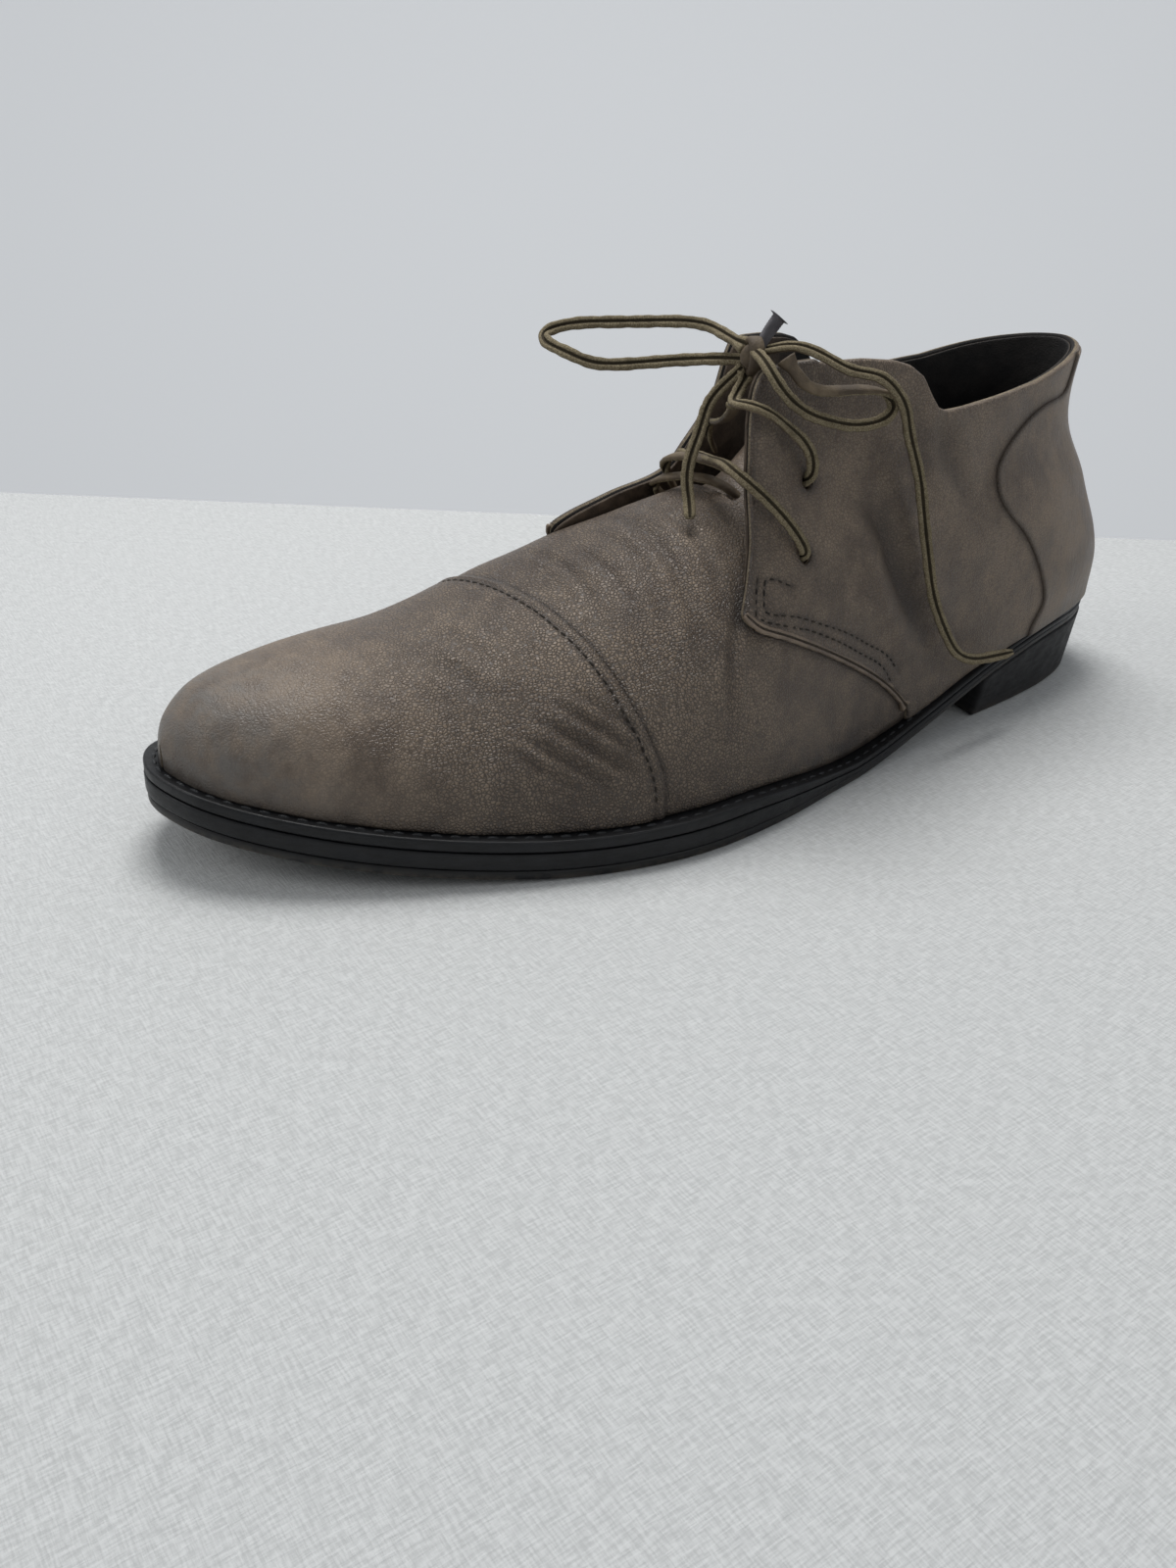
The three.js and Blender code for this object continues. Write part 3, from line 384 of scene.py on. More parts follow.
class Nodes:
    """A short way to build a node material."""

    def __init__(self, name):
        self.material = bpy.data.materials.new(name)
        self.material.use_nodes = True
        self.tree = self.material.node_tree
        self.bsdf = self.tree.nodes["Principled BSDF"]
        where = self.tree.nodes.new("ShaderNodeTexCoord").outputs["Object"]
        scale = self.tree.nodes.new("ShaderNodeVectorMath")
        scale.operation = "SCALE"
        scale.inputs["Scale"].default_value = 1000
        self.tree.links.new(where, scale.inputs[0])
        self.mm = scale.outputs[0]  # the place in millimetres

    def put(self, socket, value):
        if isinstance(value, bpy.types.NodeSocket):
            self.tree.links.new(value, socket)
        else:
            socket.default_value = value

    def noise(self, size, detail=3, rough=0.55, vector=None, distort=0.0):
        n = self.tree.nodes.new("ShaderNodeTexNoise")
        n.inputs["Scale"].default_value = 1 / size
        n.inputs["Detail"].default_value = detail
        n.inputs["Roughness"].default_value = rough
        n.inputs["Distortion"].default_value = distort
        self.tree.links.new(vector or self.mm, n.inputs["Vector"])
        return n.outputs["Fac"]

    def cells(self, size, feature="DISTANCE_TO_EDGE", vector=None):
        n = self.tree.nodes.new("ShaderNodeTexVoronoi")
        n.feature = feature
        n.inputs["Scale"].default_value = 1 / size
        self.tree.links.new(vector or self.mm, n.inputs["Vector"])
        return n.outputs["Distance"]

    def stretch(self, x, y, z, turn=(0, 0, 0)):
        n = self.tree.nodes.new("ShaderNodeMapping")
        n.inputs["Rotation"].default_value = turn
        n.inputs["Scale"].default_value = (x, y, z)
        self.tree.links.new(self.mm, n.inputs["Vector"])
        return n.outputs["Vector"]

    def math(self, operation, a, b=0.0, c=None, clamp=False):
        n = self.tree.nodes.new("ShaderNodeMath")
        n.operation = operation
        n.use_clamp = clamp
        self.put(n.inputs[0], a)
        self.put(n.inputs[1], b)
        if c is not None:
            self.put(n.inputs[2], c)
        return n.outputs[0]

    def ramp(self, value, low, high, to_low=0.0, to_high=1.0):
        n = self.tree.nodes.new("ShaderNodeMapRange")
        n.interpolation_type = "SMOOTHSTEP"
        for k, v in zip(("Value", "From Min", "From Max", "To Min", "To Max"), (value, low, high, to_low, to_high)):
            self.put(n.inputs[k], v)
        return n.outputs[0]

    def mix(self, factor, a, b, kind="MIX"):
        n = self.tree.nodes.new("ShaderNodeMix")
        n.data_type = "RGBA"
        n.blend_type = kind
        self.put(n.inputs[0], factor)
        self.put(n.inputs[6], a)
        self.put(n.inputs[7], b)
        return n.outputs[2]

    def data(self, name):
        n = self.tree.nodes.new("ShaderNodeAttribute")
        n.attribute_name = name
        return n.outputs["Fac"]

    def bump(self, height, distance, strength=1.0, normal=None):
        n = self.tree.nodes.new("ShaderNodeBump")
        n.inputs["Distance"].default_value = distance * MM
        self.put(n.inputs["Strength"], strength)
        self.tree.links.new(height, n.inputs["Height"])
        if normal is not None:
            self.tree.links.new(normal, n.inputs["Normal"])
        return n.outputs[0]

    def finish(self, colour, roughness, normal=None, **constants):
        self.put(self.bsdf.inputs["Base Color"], colour)
        self.put(self.bsdf.inputs["Roughness"], roughness)
        if normal is not None:
            self.tree.links.new(normal, self.bsdf.inputs["Normal"])
        for k, v in constants.items():
            self.bsdf.inputs[k.replace("_", " ")].default_value = v
        return self.material


def rgb(r, g, b):
    """A colour by its 0 to 255 screen values."""
    linear = lambda c: c / 12.92 if c <= 0.04045 else ((c + 0.055) / 1.055) ** 2.4
    return (linear(r / 255), linear(g / 255), linear(b / 255), 1)


def leather_material():
    n = Nodes("taupe_leather")
    warp = n.noise(3.1, 2)
    shifted = n.tree.nodes.new("ShaderNodeVectorMath")
    shifted.operation = "MULTIPLY_ADD"
    shifted.inputs[1].default_value = (1, 1, 1)
    n.tree.links.new(n.mm, shifted.inputs[0])
    n.tree.links.new(warp, shifted.inputs[2])
    pebbles = n.cells(0.85, vector=shifted.outputs[0])
    grain = n.data("grain")
    dark = n.data("dark")
    low = n.data("low")
    tip = n.data("tip")
    cloud = n.noise(26, 4, 0.6)
    patch = n.noise(7, 4, 0.62)
    speck = n.noise(1.1, 3, 0.7)
    colour = n.mix(n.ramp(cloud, 0.36, 0.66), rgb(96, 82, 69), rgb(125, 109, 92))
    colour = n.mix(n.ramp(patch, 0.4, 0.68, 0, 0.55), colour, rgb(141, 125, 107))
    colour = n.mix(n.math("MULTIPLY", n.ramp(speck, 0.45, 0.7), 0.35), colour, rgb(84, 76, 69))
    valley = n.ramp(pebbles, 0.02, 0.2, 1, 0)
    colour = n.mix(n.math("MULTIPLY", valley, n.math("MULTIPLY", grain, 0.85)), colour, rgb(58, 50, 44))
    colour = n.mix(n.math("MULTIPLY", tip, n.ramp(n.noise(5, 5, 0.65), 0.35, 0.7, 0.25, 0.85)), colour,
                   rgb(104, 101, 97))
    # painted shade near the sole, from the low share
    colour = n.mix(n.math("MULTIPLY", low, n.ramp(patch, 0.2, 0.7, 0.9, 0.45)), colour, rgb(58, 56, 56))
    # painted shade in creases and along seams, with some dirt in the creases, from the dark share
    colour = n.mix(n.math("MULTIPLY", dark, 0.8, clamp=True), colour, rgb(44, 38, 35))
    lines = n.noise(1.6, 4, 0.6, n.stretch(0.55, 1.5, 0.5, (0.3, 0.5, 0.7)))
    fine = n.noise(0.35, 3, 0.6)
    first = n.bump(n.ramp(pebbles, 0.0, 0.28), 0.26, n.math("MULTIPLY_ADD", grain, 0.75, 0.12))
    second = n.bump(lines, 0.8, 0.4, first)
    normal = n.bump(fine, 0.05, 0.5, second)
    rough = n.ramp(patch, 0.3, 0.75, 0.38, 0.56)
    return n.finish(colour, rough, normal, Specular_IOR_Level=0.5)


def plain_leather(name, light, shade, roughness, grain=0.8, depth=0.1):
    n = Nodes(name)
    cloud = n.noise(9, 4, 0.6)
    colour = n.mix(n.ramp(cloud, 0.35, 0.7), shade, light)
    colour = n.mix(n.ramp(n.noise(0.7, 3, 0.7), 0.5, 0.75, 0, 0.35), colour, shade)
    pebbles = n.cells(grain)
    normal = n.bump(n.ramp(pebbles, 0.0, 0.3), depth, 0.6, n.bump(n.noise(0.3, 3), 0.06, 0.5))
    return n.finish(colour, roughness, normal, Specular_IOR_Level=0.35)


def raw_edge_material(name, light, shade):
    n = Nodes(name)
    fibre = n.noise(0.35, 5, 0.75)
    colour = n.mix(n.ramp(fibre, 0.35, 0.65), shade, light)
    colour = n.mix(n.ramp(n.noise(6, 3), 0.45, 0.75, 0, 0.5), colour, shade)
    return n.finish(colour, 0.85, n.bump(fibre, 0.25, 0.7), Specular_IOR_Level=0.2)


def sole_material(name, light, shade, low_rough, high_rough):
    n = Nodes(name)
    along = n.noise(2.2, 5, 0.65, n.stretch(0.35, 0.35, 1.6))
    wear = n.noise(5, 5, 0.7)
    colour = n.mix(n.ramp(along, 0.35, 0.72), shade, light)
    colour = n.mix(n.math("MULTIPLY", n.data("worn"), n.ramp(wear, 0.35, 0.6)), colour, rgb(118, 110, 98))
    rough = n.ramp(wear, 0.3, 0.7, low_rough, high_rough)
    normal = n.bump(along, 0.2, 0.5, n.bump(n.noise(0.5, 4, 0.6), 0.1, 0.5))
    return n.finish(colour, rough, normal, Specular_IOR_Level=0.35)


leather = leather_material()
lining = plain_leather("lining", rgb(30, 27, 25), rgb(14, 13, 13), 0.85)


def facing_lining_material():
    n = Nodes("quarter_lining")
    cloud = n.ramp(n.noise(5, 4, 0.6), 0.35, 0.7)
    dark = n.mix(cloud, rgb(14, 13, 13), rgb(30, 27, 25))
    brown = n.mix(cloud, rgb(74, 64, 55), rgb(104, 91, 78))
    normal = n.bump(n.ramp(n.cells(0.8), 0.0, 0.3), 0.12, 0.6, n.bump(n.noise(2.5, 4), 0.5, 0.5))
    return n.finish(n.mix(n.data("fore"), dark, brown), 0.75, normal, Specular_IOR_Level=0.35)


side_lining = facing_lining_material()
raw_edge = raw_edge_material("raw_edge", rgb(150, 138, 118), rgb(84, 74, 62))
dark_edge = raw_edge_material("dark_edge", rgb(96, 86, 76), rgb(52, 46, 41))
thread = plain_leather("thread", rgb(56, 49, 40), rgb(30, 26, 22), 0.75, 0.3, 0.05)
black_thread = plain_leather("black_thread", rgb(30, 33, 37), rgb(15, 17, 20), 0.42, 0.3, 0.05)
lace_face = plain_leather("lace_face", rgb(112, 98, 78), rgb(74, 63, 50), 0.62, 0.6, 0.08)
lace_raw = raw_edge_material("lace_raw", rgb(146, 135, 110), rgb(86, 77, 59))
# painted shade: the lace's groove gets a darker copy of the raw edge colour
lace_groove_shade = raw_edge_material("lace_groove_shade", rgb(72, 64, 48), rgb(44, 39, 30))
stub_leather = plain_leather("stub_leather", rgb(104, 102, 106), rgb(72, 70, 74), 0.6, 0.6, 0.08)
edge_black = sole_material("edge_black", rgb(18, 20, 24), rgb(7, 8, 10), 0.36, 0.56)
heel_black = sole_material("heel_black", rgb(40, 40, 42), rgb(20, 20, 22), 0.6, 0.8)
bottom_tan = plain_leather("sole_bottom", rgb(92, 80, 66), rgb(50, 44, 38), 0.7, 0.5, 0.05)


# Panels of the upper


def inside(points, loop):
    """Which points lie in a closed flat loop."""
    x, y = points.T
    result = np.zeros(len(points), bool)
    a, b = loop, np.roll(loop, -1, 0)
    for (x0, y0), (x1, y1) in zip(a, b):
        if y0 == y1:
            continue
        cross = ((y0 > y) != (y1 > y)) & (x < (x1 - x0) * (y - y0) / (y1 - y0) + x0)
        result ^= cross
    return result


def flat_distance(points, loop):
    best = np.full(len(points), 1e9)
    for p, q in zip(loop, np.roll(loop, -1, 0)):
        d = q - p
        t = np.clip(((points - p) @ d) / max(d @ d, 1e-9), 0, 1)
        best = np.minimum(best, np.linalg.norm(points - p - t[:, None] * d, axis=1))
    return best


def even_loop(loop, step):
    closed = np.vstack([loop, loop[:1]])
    run = np.r_[0, np.cumsum(np.linalg.norm(np.diff(closed, axis=0), axis=1))]
    at = np.linspace(0, run[-1], max(int(run[-1] / step), 8), endpoint=False)
    return np.stack([np.interp(at, run, closed[:, k]) for k in (0, 1)], 1)


def moved_loop(loop, distance):
    """The loop moved to its inner side (counterclockwise loops), without its folds."""
    t = np.roll(loop, -1, 0) - np.roll(loop, 1, 0)
    t /= np.maximum(np.linalg.norm(t, axis=1), 1e-9)[:, None]
    moved = loop + np.stack([-t[:, 1], t[:, 0]], 1) * distance
    return moved[flat_distance(moved, loop) > abs(distance) * 0.93]


def triangulate(loop, holes, spacing, rings):
    """A fine flat mesh of a loop with round holes: points, triangles and each point's distance to an edge."""
    area = 0.5 * np.sum(loop[:, 0] * np.roll(loop[:, 1], -1) - np.roll(loop[:, 0], -1) * loop[:, 1])
    loop = even_loop(loop if area > 0 else loop[::-1], 0.7 * spacing)
    edges = [loop] + [even_loop(h, 0.45) for h in holes]
    groups = list(edges)
    for r in rings:
        groups += [moved_loop(loop, r)] + [moved_loop(h[::-1], r) for h in edges[1:]]
    low, high = loop.min(0), loop.max(0)
    xs = np.arange(low[0], high[0], spacing)
    ys = np.arange(low[1], high[1], spacing * 0.866)
    grid = np.array([(x + (0.5 * spacing if j % 2 else 0), y) for j, y in enumerate(ys) for x in xs])
    grid = grid[inside(grid, loop)]
    gap = np.min([flat_distance(grid, e) for e in edges], axis=0)
    for h in edges[1:]:
        gap[inside(grid, h)] = 0
    groups.append(grid[gap > rings[-1] + 0.45 * spacing])
    points = np.vstack(groups)
    links, start = [], 0
    for e in edges:
        links += [(start + k, start + (k + 1) % len(e)) for k in range(len(e))]
        start += len(e)
    found = delaunay_2d_cdt([Vector(p) for p in points], links, [], 0, 1e-5)
    verts = np.array([tuple(v) for v in found[0]])
    faces = np.array(found[2])
    middle = verts[faces].mean(1)
    keep = inside(middle, loop)
    for h in edges[1:]:
        keep &= ~inside(middle, h)
    faces = faces[keep]
    used = np.unique(faces)
    renumber = np.full(len(verts), -1)
    renumber[used] = np.arange(len(used))
    verts, faces = verts[used], renumber[faces]
    gap = np.min([flat_distance(verts, e) for e in edges], axis=0)
    return verts, faces, gap


def rounded(gap, radius):
    """How far a surface falls towards an edge that is rounded by this radius."""
    g = np.clip(gap, 0, radius)
    return radius - np.sqrt(np.maximum(radius ** 2 - (radius - g) ** 2, 0))


def shell(name, front, back, faces, materials):
    """A skin with thickness from its front and back points; materials are front, rim, back."""
    count = len(front)
    directed = {}
    for f in faces:
        for a, b in zip(f, np.roll(f, -1)):
            directed[(int(a), int(b))] = True
    rim = [(a, b) for a, b in directed if (b, a) not in directed]
    all_faces = [tuple(int(v) for v in f) for f in faces]
    all_faces += [tuple(int(v) + count for v in f[::-1]) for f in faces]
    all_faces += [(b, a, a + count, b + count) for a, b in rim]
    slots = [0] * len(faces) + [2] * len(faces) + [1] * len(rim)
    mesh = make_mesh(name, np.vstack([front, back]), all_faces, slots)
    return new_object(name, mesh, materials)


def leather_marks(obj, points, dark, double=True):
    """The shares that the leather's material reads: grain; dark, painted shade in creases and along seams; low, painted
    shade near the sole and in a band on the outer side; tip; fore.
    """
    x, y, z = points.T
    s = share_at(y)
    height = z - sole_top(np.clip(s, 0, 1))
    # painted shade: the leather darkens near the sole and, on the outer side, in a band at the middle of the shoe
    near = np.exp(-np.maximum(height, 0) / 5.5) * 0.8
    near += 0.8 * np.exp(-((s - 0.46) / 0.1) ** 2) * np.exp(-np.maximum(height, 0) / 17) * (x > 0)
    tip = smooth_step(0.86, 0.97, s)
    grain = smooth_step(0.03, 0.3, s) * 0.62 + 0.38 * smooth_step(0.5, 0.6, s)
    grain = grain * (1 - 0.75 * smooth_step(0.78, 0.92, s))
    fore = smooth_step(0.37, 0.42, s)
    marks = {"dark": dark, "low": np.clip(near, 0, 1), "tip": tip, "grain": grain, "fore": fore}
    for key, value in marks.items():
        attribute(obj, key, np.r_[value, value] if double else value)


def seam_shade(points, lines):
    """Darkness along seams."""
    dark = np.zeros(len(points))
    for line, width, amount in lines:
        gap, _ = distance_to_line(points, line)
        dark = np.maximum(dark, amount * np.exp(-(gap / width) ** 2))
    return dark


def side_place(side, s, z):
    """The edge length a of a point of the quarters that is seen in side view at share s, height z."""
    y = y_at(s)
    plan_y = np.array(y, float)
    for _ in range(12):
        t = share_at(plan_y)
        up = (z - sole_top(np.maximum(t, 0)) - SEAM) / UPPER_HEIGHT
        lean = look_up(BACK[:, 0], BACK[:, 1], np.maximum(up, 0)) * BACK_LEAN * (1 - smooth_step(0, 0.42, t))
        plan_y = y + lean
    return side * upper_plan.arc(side, np.minimum(plan_y, upper_plan.back))


def place_rows(side, rows, count=60, smooth=True):
    """Rows of share and height share as a line in the quarters' flat frame."""
    pts = np.array([(s * LENGTH, side_z(u)) for s, u in rows])
    if smooth:
        pts = catmull(pts, count=count)
    s, z = pts[:, 0] / LENGTH, pts[:, 1]
    return np.stack([side_place(side, s, z), z], 1)


def top_height(a):
    """Height of the top line over the edge length a, by steps, as its share depends on the height."""
    a = np.asarray(a, float)
    z = np.full(len(a), side_z(0.95))
    rows = np.array(TOPLINE)
    for _ in range(30):
        s = share_at(quarter_point(a, z)[:, 1])
        z = 0.5 * z + 0.5 * side_z(np.interp(s, rows[:, 0], rows[:, 1]))
    return z


def base_height(a):
    side = np.where(np.asarray(a) >= 0, 1, -1)
    y = np.where(side > 0, upper_plan.at_arc(1, np.abs(a))[1], upper_plan.at_arc(-1, np.abs(a))[1])
    return sole_top(np.maximum(share_at(y), 0)) + 0.02


def quarter_panel(name, loop, lift, thick, radius, materials, holes=(), spacing=1.5, seams=(), rings=None,
                  waves=1.0):
    verts, faces, gap = triangulate(loop, holes, spacing, rings or (0.3 * radius, 0.8 * radius, 1.6 * radius + 0.4))
    a, z = verts.T
    base, normal = quarter_point(a, z), quarter_normal(a, z)
    move, dark = crease_depth(base)
    fall = rounded(gap, radius)
    shade = seam_shade(base, seams)
    groove = np.zeros(len(base))
    for line, width, depth in [(l, w, d) for l, w, d in SUNK]:
        near, _ = distance_to_line(base, line)
        groove += depth * np.exp(-(near / width) ** 2)
    front = base + normal * (lift + waves * move - fall - groove)[:, None]
    back = base + normal * (lift + waves * move - thick + np.minimum(fall, thick / 2.5))[:, None]
    obj = shell(name, front, back, faces, materials)
    leather_marks(obj, base, np.clip(dark + shade, 0, 1))
    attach(obj, "root")
    return obj


def add_leather(obj, points, dark):
    leather_marks(obj, points, dark)
    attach(obj, "root")
    return obj


lateral_front = place_rows(1, FACING_LATERAL + LOWER_LATERAL, 160)
medial_front = place_rows(-1, FACING_MEDIAL + LOWER_MEDIAL, 160)
lateral_front = lateral_front[lateral_front[:, 1] > base_height(lateral_front[:, 0])]
medial_front = medial_front[medial_front[:, 1] > base_height(medial_front[:, 0])]


def back_loop(lower=0.0):
    """The edge of both quarters in one piece, which run round the back."""
    a0, a1 = medial_front[-1, 0], lateral_front[-1, 0]
    foot = np.linspace(a0, a1, 240)
    crown = np.linspace(lateral_front[0, 0], medial_front[0, 0], 260)[1:-1]
    return np.vstack([
        np.stack([foot, base_height(foot)], 1), lateral_front[::-1],
        np.stack([crown, top_height(crown) - lower], 1), medial_front])


def hole_loop(side, at, up, radius=1.7):
    centre = np.array([side_place(side, np.array([at]), np.array([side_z(up)]))[0], side_z(up)])
    turn = np.linspace(0, 2 * math.pi, 24, endpoint=False)
    return centre + radius * np.stack([np.cos(turn) / 0.95, np.sin(turn) * 1.1], 1)


hole_loops = [hole_loop(*h) for h in HOLES]
counter_side = place_rows(1, COUNTER, 160)
counter_side = counter_side[counter_side[:, 1] > base_height(counter_side[:, 0])]
counter_inner = counter_side * (-1, 1)
counter_inner = counter_inner[counter_inner[:, 1] > base_height(counter_inner[:, 0])]
reach = counter_side[0, 0]
foot = np.linspace(counter_inner[-1, 0], counter_side[-1, 0], 80)
crown = np.linspace(reach, -reach, 60)[1:-1]
counter_loop = np.vstack([np.stack([foot, base_height(foot)], 1), counter_side[::-1],
                          np.stack([crown, top_height(crown) - 0.9], 1), counter_inner])

STITCH_OUTER = [(0.546, 33.5, 61.8), (0.551, 35.5, 57.7), (0.5555, 37.7, 53.2), (0.549, 38.2, 51.8), (0.528, 38.9, 49.4),
                (0.5, 39.7, 46.6), (0.466, 40.1, 41.6), (0.435, 40.2, 36.2), (0.402, 39.5, 30), (0.382, 39, 23)]
STITCH_INNER = [(0.513, 35.5, 57.8), (0.531, 34.4, 60.3), (0.5385, 34, 60.4), (0.5435, 36, 57), (0.546, 37.3, 53.9),
                (0.54, 38, 52.8), (0.513, 38.7, 50.6), (0.485, 39.3, 47.2), (0.456, 39.7, 43.3), (0.425, 39.5, 38),
                (0.395, 39.2, 32.4), (0.375, 38.5, 26)]


def stitch_line(rows, side=1):
    pts = catmull([(s * LENGTH, z) for s, x, z in rows], count=180)
    s, z = pts[:, 0] / LENGTH, pts[:, 1]
    line = np.stack([side_place(side, s, z), z], 1)
    return line[line[:, 1] > base_height(line[:, 0]) + 1.5]


quarter_stitches = [stitch_line(STITCH_OUTER), stitch_line(STITCH_INNER),
                    stitch_line([(s - 0.01, x, z + 2) for s, x, z in STITCH_OUTER], -1),
                    stitch_line([(s - 0.01, x, z + 2) for s, x, z in STITCH_INNER], -1)]
as_form = lambda line: quarter_point(line[:, 0], line[:, 1])
SUNK = [(as_form(l), 0.75, 0.5) for l in quarter_stitches]
edge_lines = [as_form(lateral_front), as_form(medial_front)]
counter_edges = [as_form(counter_side), as_form(counter_inner)]
quarter_seams = [(l, 1.2, 0.6) for l in edge_lines] + [(as_form(l), 0.7, 0.8) for l in quarter_stitches]
quarter_seams += [(l, 1.5, 0.9) for l in counter_edges] + [(as_form(h), 1.8, 0.8) for h in hole_loops]

quarters = quarter_panel("quarters", back_loop(), 1.45, 2.4, 0.8, [leather, raw_edge, lining], hole_loops, 1.35,
                         quarter_seams)
counter = quarter_panel("heel_counter", counter_loop, 2.3, 1.6, 0.7, [leather, dark_edge, lining], (), 1.35,
                        [(l, 1.2, 0.75) for l in counter_edges])
lining_panel = quarter_panel("quarter_lining", back_loop(0.9), -1.0, 0.8, 0.3, [side_lining, dark_edge, side_lining],
                             [], 2.2)

# Vamp and toe cap
TURNS = np.linspace(0, math.pi, 170)


def solve_edge(table, height):
    """The place along the shoe where each turn of the vamp's form meets an edge."""
    y = np.full(len(TURNS), y_at(0.6))
    for _ in range(40):
        p = vamp_point(y, TURNS)
        share = (p[:, 2] - HEEL_HEIGHT) / UPPER_HEIGHT if height else p[:, 0] / BALL
        y = 0.5 * y + 0.5 * y_at(np.interp(share, table[:, 0], table[:, 1]))
    return y


def form_grid(start, end, rows, power):
    """Points and outward normals of the vamp's form from one line across it to another."""
    t = np.linspace(0, 1, rows)[:, None] ** power
    y = start + (end - start) * t
    p = vamp_point(y.ravel(), np.tile(TURNS, rows)).reshape(rows, len(TURNS), 3)
    du, dv = np.gradient(p, axis=0), np.gradient(p, axis=1)
    n = np.cross(du, dv)
    n /= np.maximum(np.linalg.norm(n, axis=2), 1e-9)[..., None]
    if n[rows // 2, len(TURNS) // 2, 2] < 0:
        n = -n
    return y, p, n


def grid_faces(rows, columns):
    return [(i * columns + j, i * columns + j + 1, (i + 1) * columns + j + 1, (i + 1) * columns + j)
            for i in range(rows - 1) for j in range(columns - 1)]


def vamp_piece(name, start, end, rows, power, lift, thick, radius, materials, seams, tip=False):
    y, p, n = form_grid(start, end, rows, power)
    if tip:
        n[0] = (0, -1, 0)
        n[1] = 0.5 * n[1] + 0.5 * n[2]
    gap = np.broadcast_to(end, y.shape) - y
    fall = rounded(gap.ravel(), radius)
    p, n = p.reshape(-1, 3), n.reshape(-1, 3)
    n /= np.linalg.norm(n, axis=1)[:, None]
    move, dark = crease_depth(p)
    groove = np.zeros(len(p))
    for line, width, depth in SUNK:
        near, _ = distance_to_line(p, line)
        groove += depth * np.exp(-(near / width) ** 2)
    if not tip:
        groove += 0.25 * (p[:, 1] < np.tile(cap_y, rows))
    move = move * smooth_step(0, 9, p[:, 1] - upper_plan.front)
    front = p + n * (lift + move - fall - groove)[:, None]
    back = p + n * (lift + move - thick + 0.3 * fall)[:, None]
    faces = grid_faces(rows, len(TURNS))
    if np.dot(np.cross(front[faces[900][1]] - front[faces[900][0]], front[faces[900][2]] - front[faces[900][0]]),
              n[faces[900][0]]) < 0:
        faces = [f[::-1] for f in faces]
    obj = shell(name, front, back, np.array(faces), materials)
    return add_leather(obj, p, np.clip(dark + seam_shade(p, seams), 0, 1))


cap_y = solve_edge(CAP_EDGE, False)
vamp_y = solve_edge(VAMP_EDGE, True)
front_y = np.full(len(TURNS), upper_plan.front + 0.02)
cap_edge = vamp_point(cap_y, TURNS)
cap_stitch = vamp_point(cap_y - 2.6, TURNS)
SUNK = [(cap_stitch, 0.75, 0.45)]
lower_edges = [as_form(lateral_front[60:]), as_form(medial_front[60:])]
cap = vamp_piece("toe_cap", front_y, cap_y, 130, 1.9, 1.05, 1.1, 0.5, [leather, raw_edge, lining],
                 [(cap_stitch, 0.7, 0.75), (cap_edge, 0.8, 0.6)], tip=True)
SUNK = []
vamp = vamp_piece("vamp", cap_y - 8, vamp_y, 120, 1, 0.0, 1.3, 0.4, [leather, raw_edge, lining],
                  [(cap_edge, 1.3, 0.9)] + [(l, 2.2, 0.9) for l in lower_edges])
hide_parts("upper")

# Tongue
TONGUE = np.array([(0.36, -0.12, 0.2), (0.39, -0.125, 0.22), (0.46, -0.14, 0.21), (0.52, -0.15, 0.2), (0.61, -0.13, 0.16)])


def tongue_piece():
    rows, columns = 110, 60
    s = np.linspace(0.61, 0.418, rows)[:, None]
    across = np.linspace(0, 1, columns)[None, :]
    round_top = 1 - 0.5 * (1 - smooth_step(0.418, 0.445, s)) ** 2
    left, right = (np.interp(s, TONGUE[:, 0], TONGUE[:, k]) * BALL for k in (1, 2))
    middle = (left + right) / 2
    x = middle + (left + (right - left) * across - middle) * round_top
    y = np.broadcast_to(y_at(s), x.shape)
    share = share_at(y)
    l, m = upper_plan.x(1, y), upper_plan.x(-1, y)
    own = 1 - (y - upper_plan.front) / LENGTH
    height = look_up(RIDGE[:, 0], RIDGE[:, 1], own) * UPPER_HEIGHT
    ridge = (l + m) / 2 - look_up(RIDGE[:, 0], RIDGE[:, 2], share) * (l - m)
    half = np.where(x >= ridge, l - ridge, ridge - m)
    bend = np.clip(np.abs(x - ridge) / half, 0, 0.98) ** (1 / 0.86)
    z = sole_top(share) + SEAM + height * np.sqrt(1 - bend ** 2) ** 0.96
    p = np.stack([x, y, z], -1)
    n = np.cross(np.gradient(p, axis=0), np.gradient(p, axis=1))
    n /= np.linalg.norm(n, axis=2)[..., None]
    n = n * np.sign(n[rows // 2, columns // 2, 2])
    wave = 0.5 * np.sin(x / 3.1 + y / 5) + 0.45 * np.sin(y / 2.9 + 0.8 * np.sin(x / 6))
    p, n, wave = p.reshape(-1, 3), n.reshape(-1, 3), wave.ravel()
    front = p + n * (wave - 1.9)[:, None]
    back = p + n * (wave - 3.6)[:, None]
    faces = grid_faces(rows, columns)
    f = faces[2000]
    if np.dot(np.cross(front[f[1]] - front[f[0]], front[f[2]] - front[f[0]]), n[f[0]]) < 0:
        faces = [q[::-1] for q in faces]
    obj = shell("tongue_leather", front, back, np.array(faces), [leather, raw_edge, lining])
    # the whole tongue is darkened a little: painted shade for the tongue, which lies under the quarters
    return add_leather(obj, p, np.full(len(p), 0.25))


tongue = tongue_piece()
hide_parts("tongue")

# Sole, heel and insole


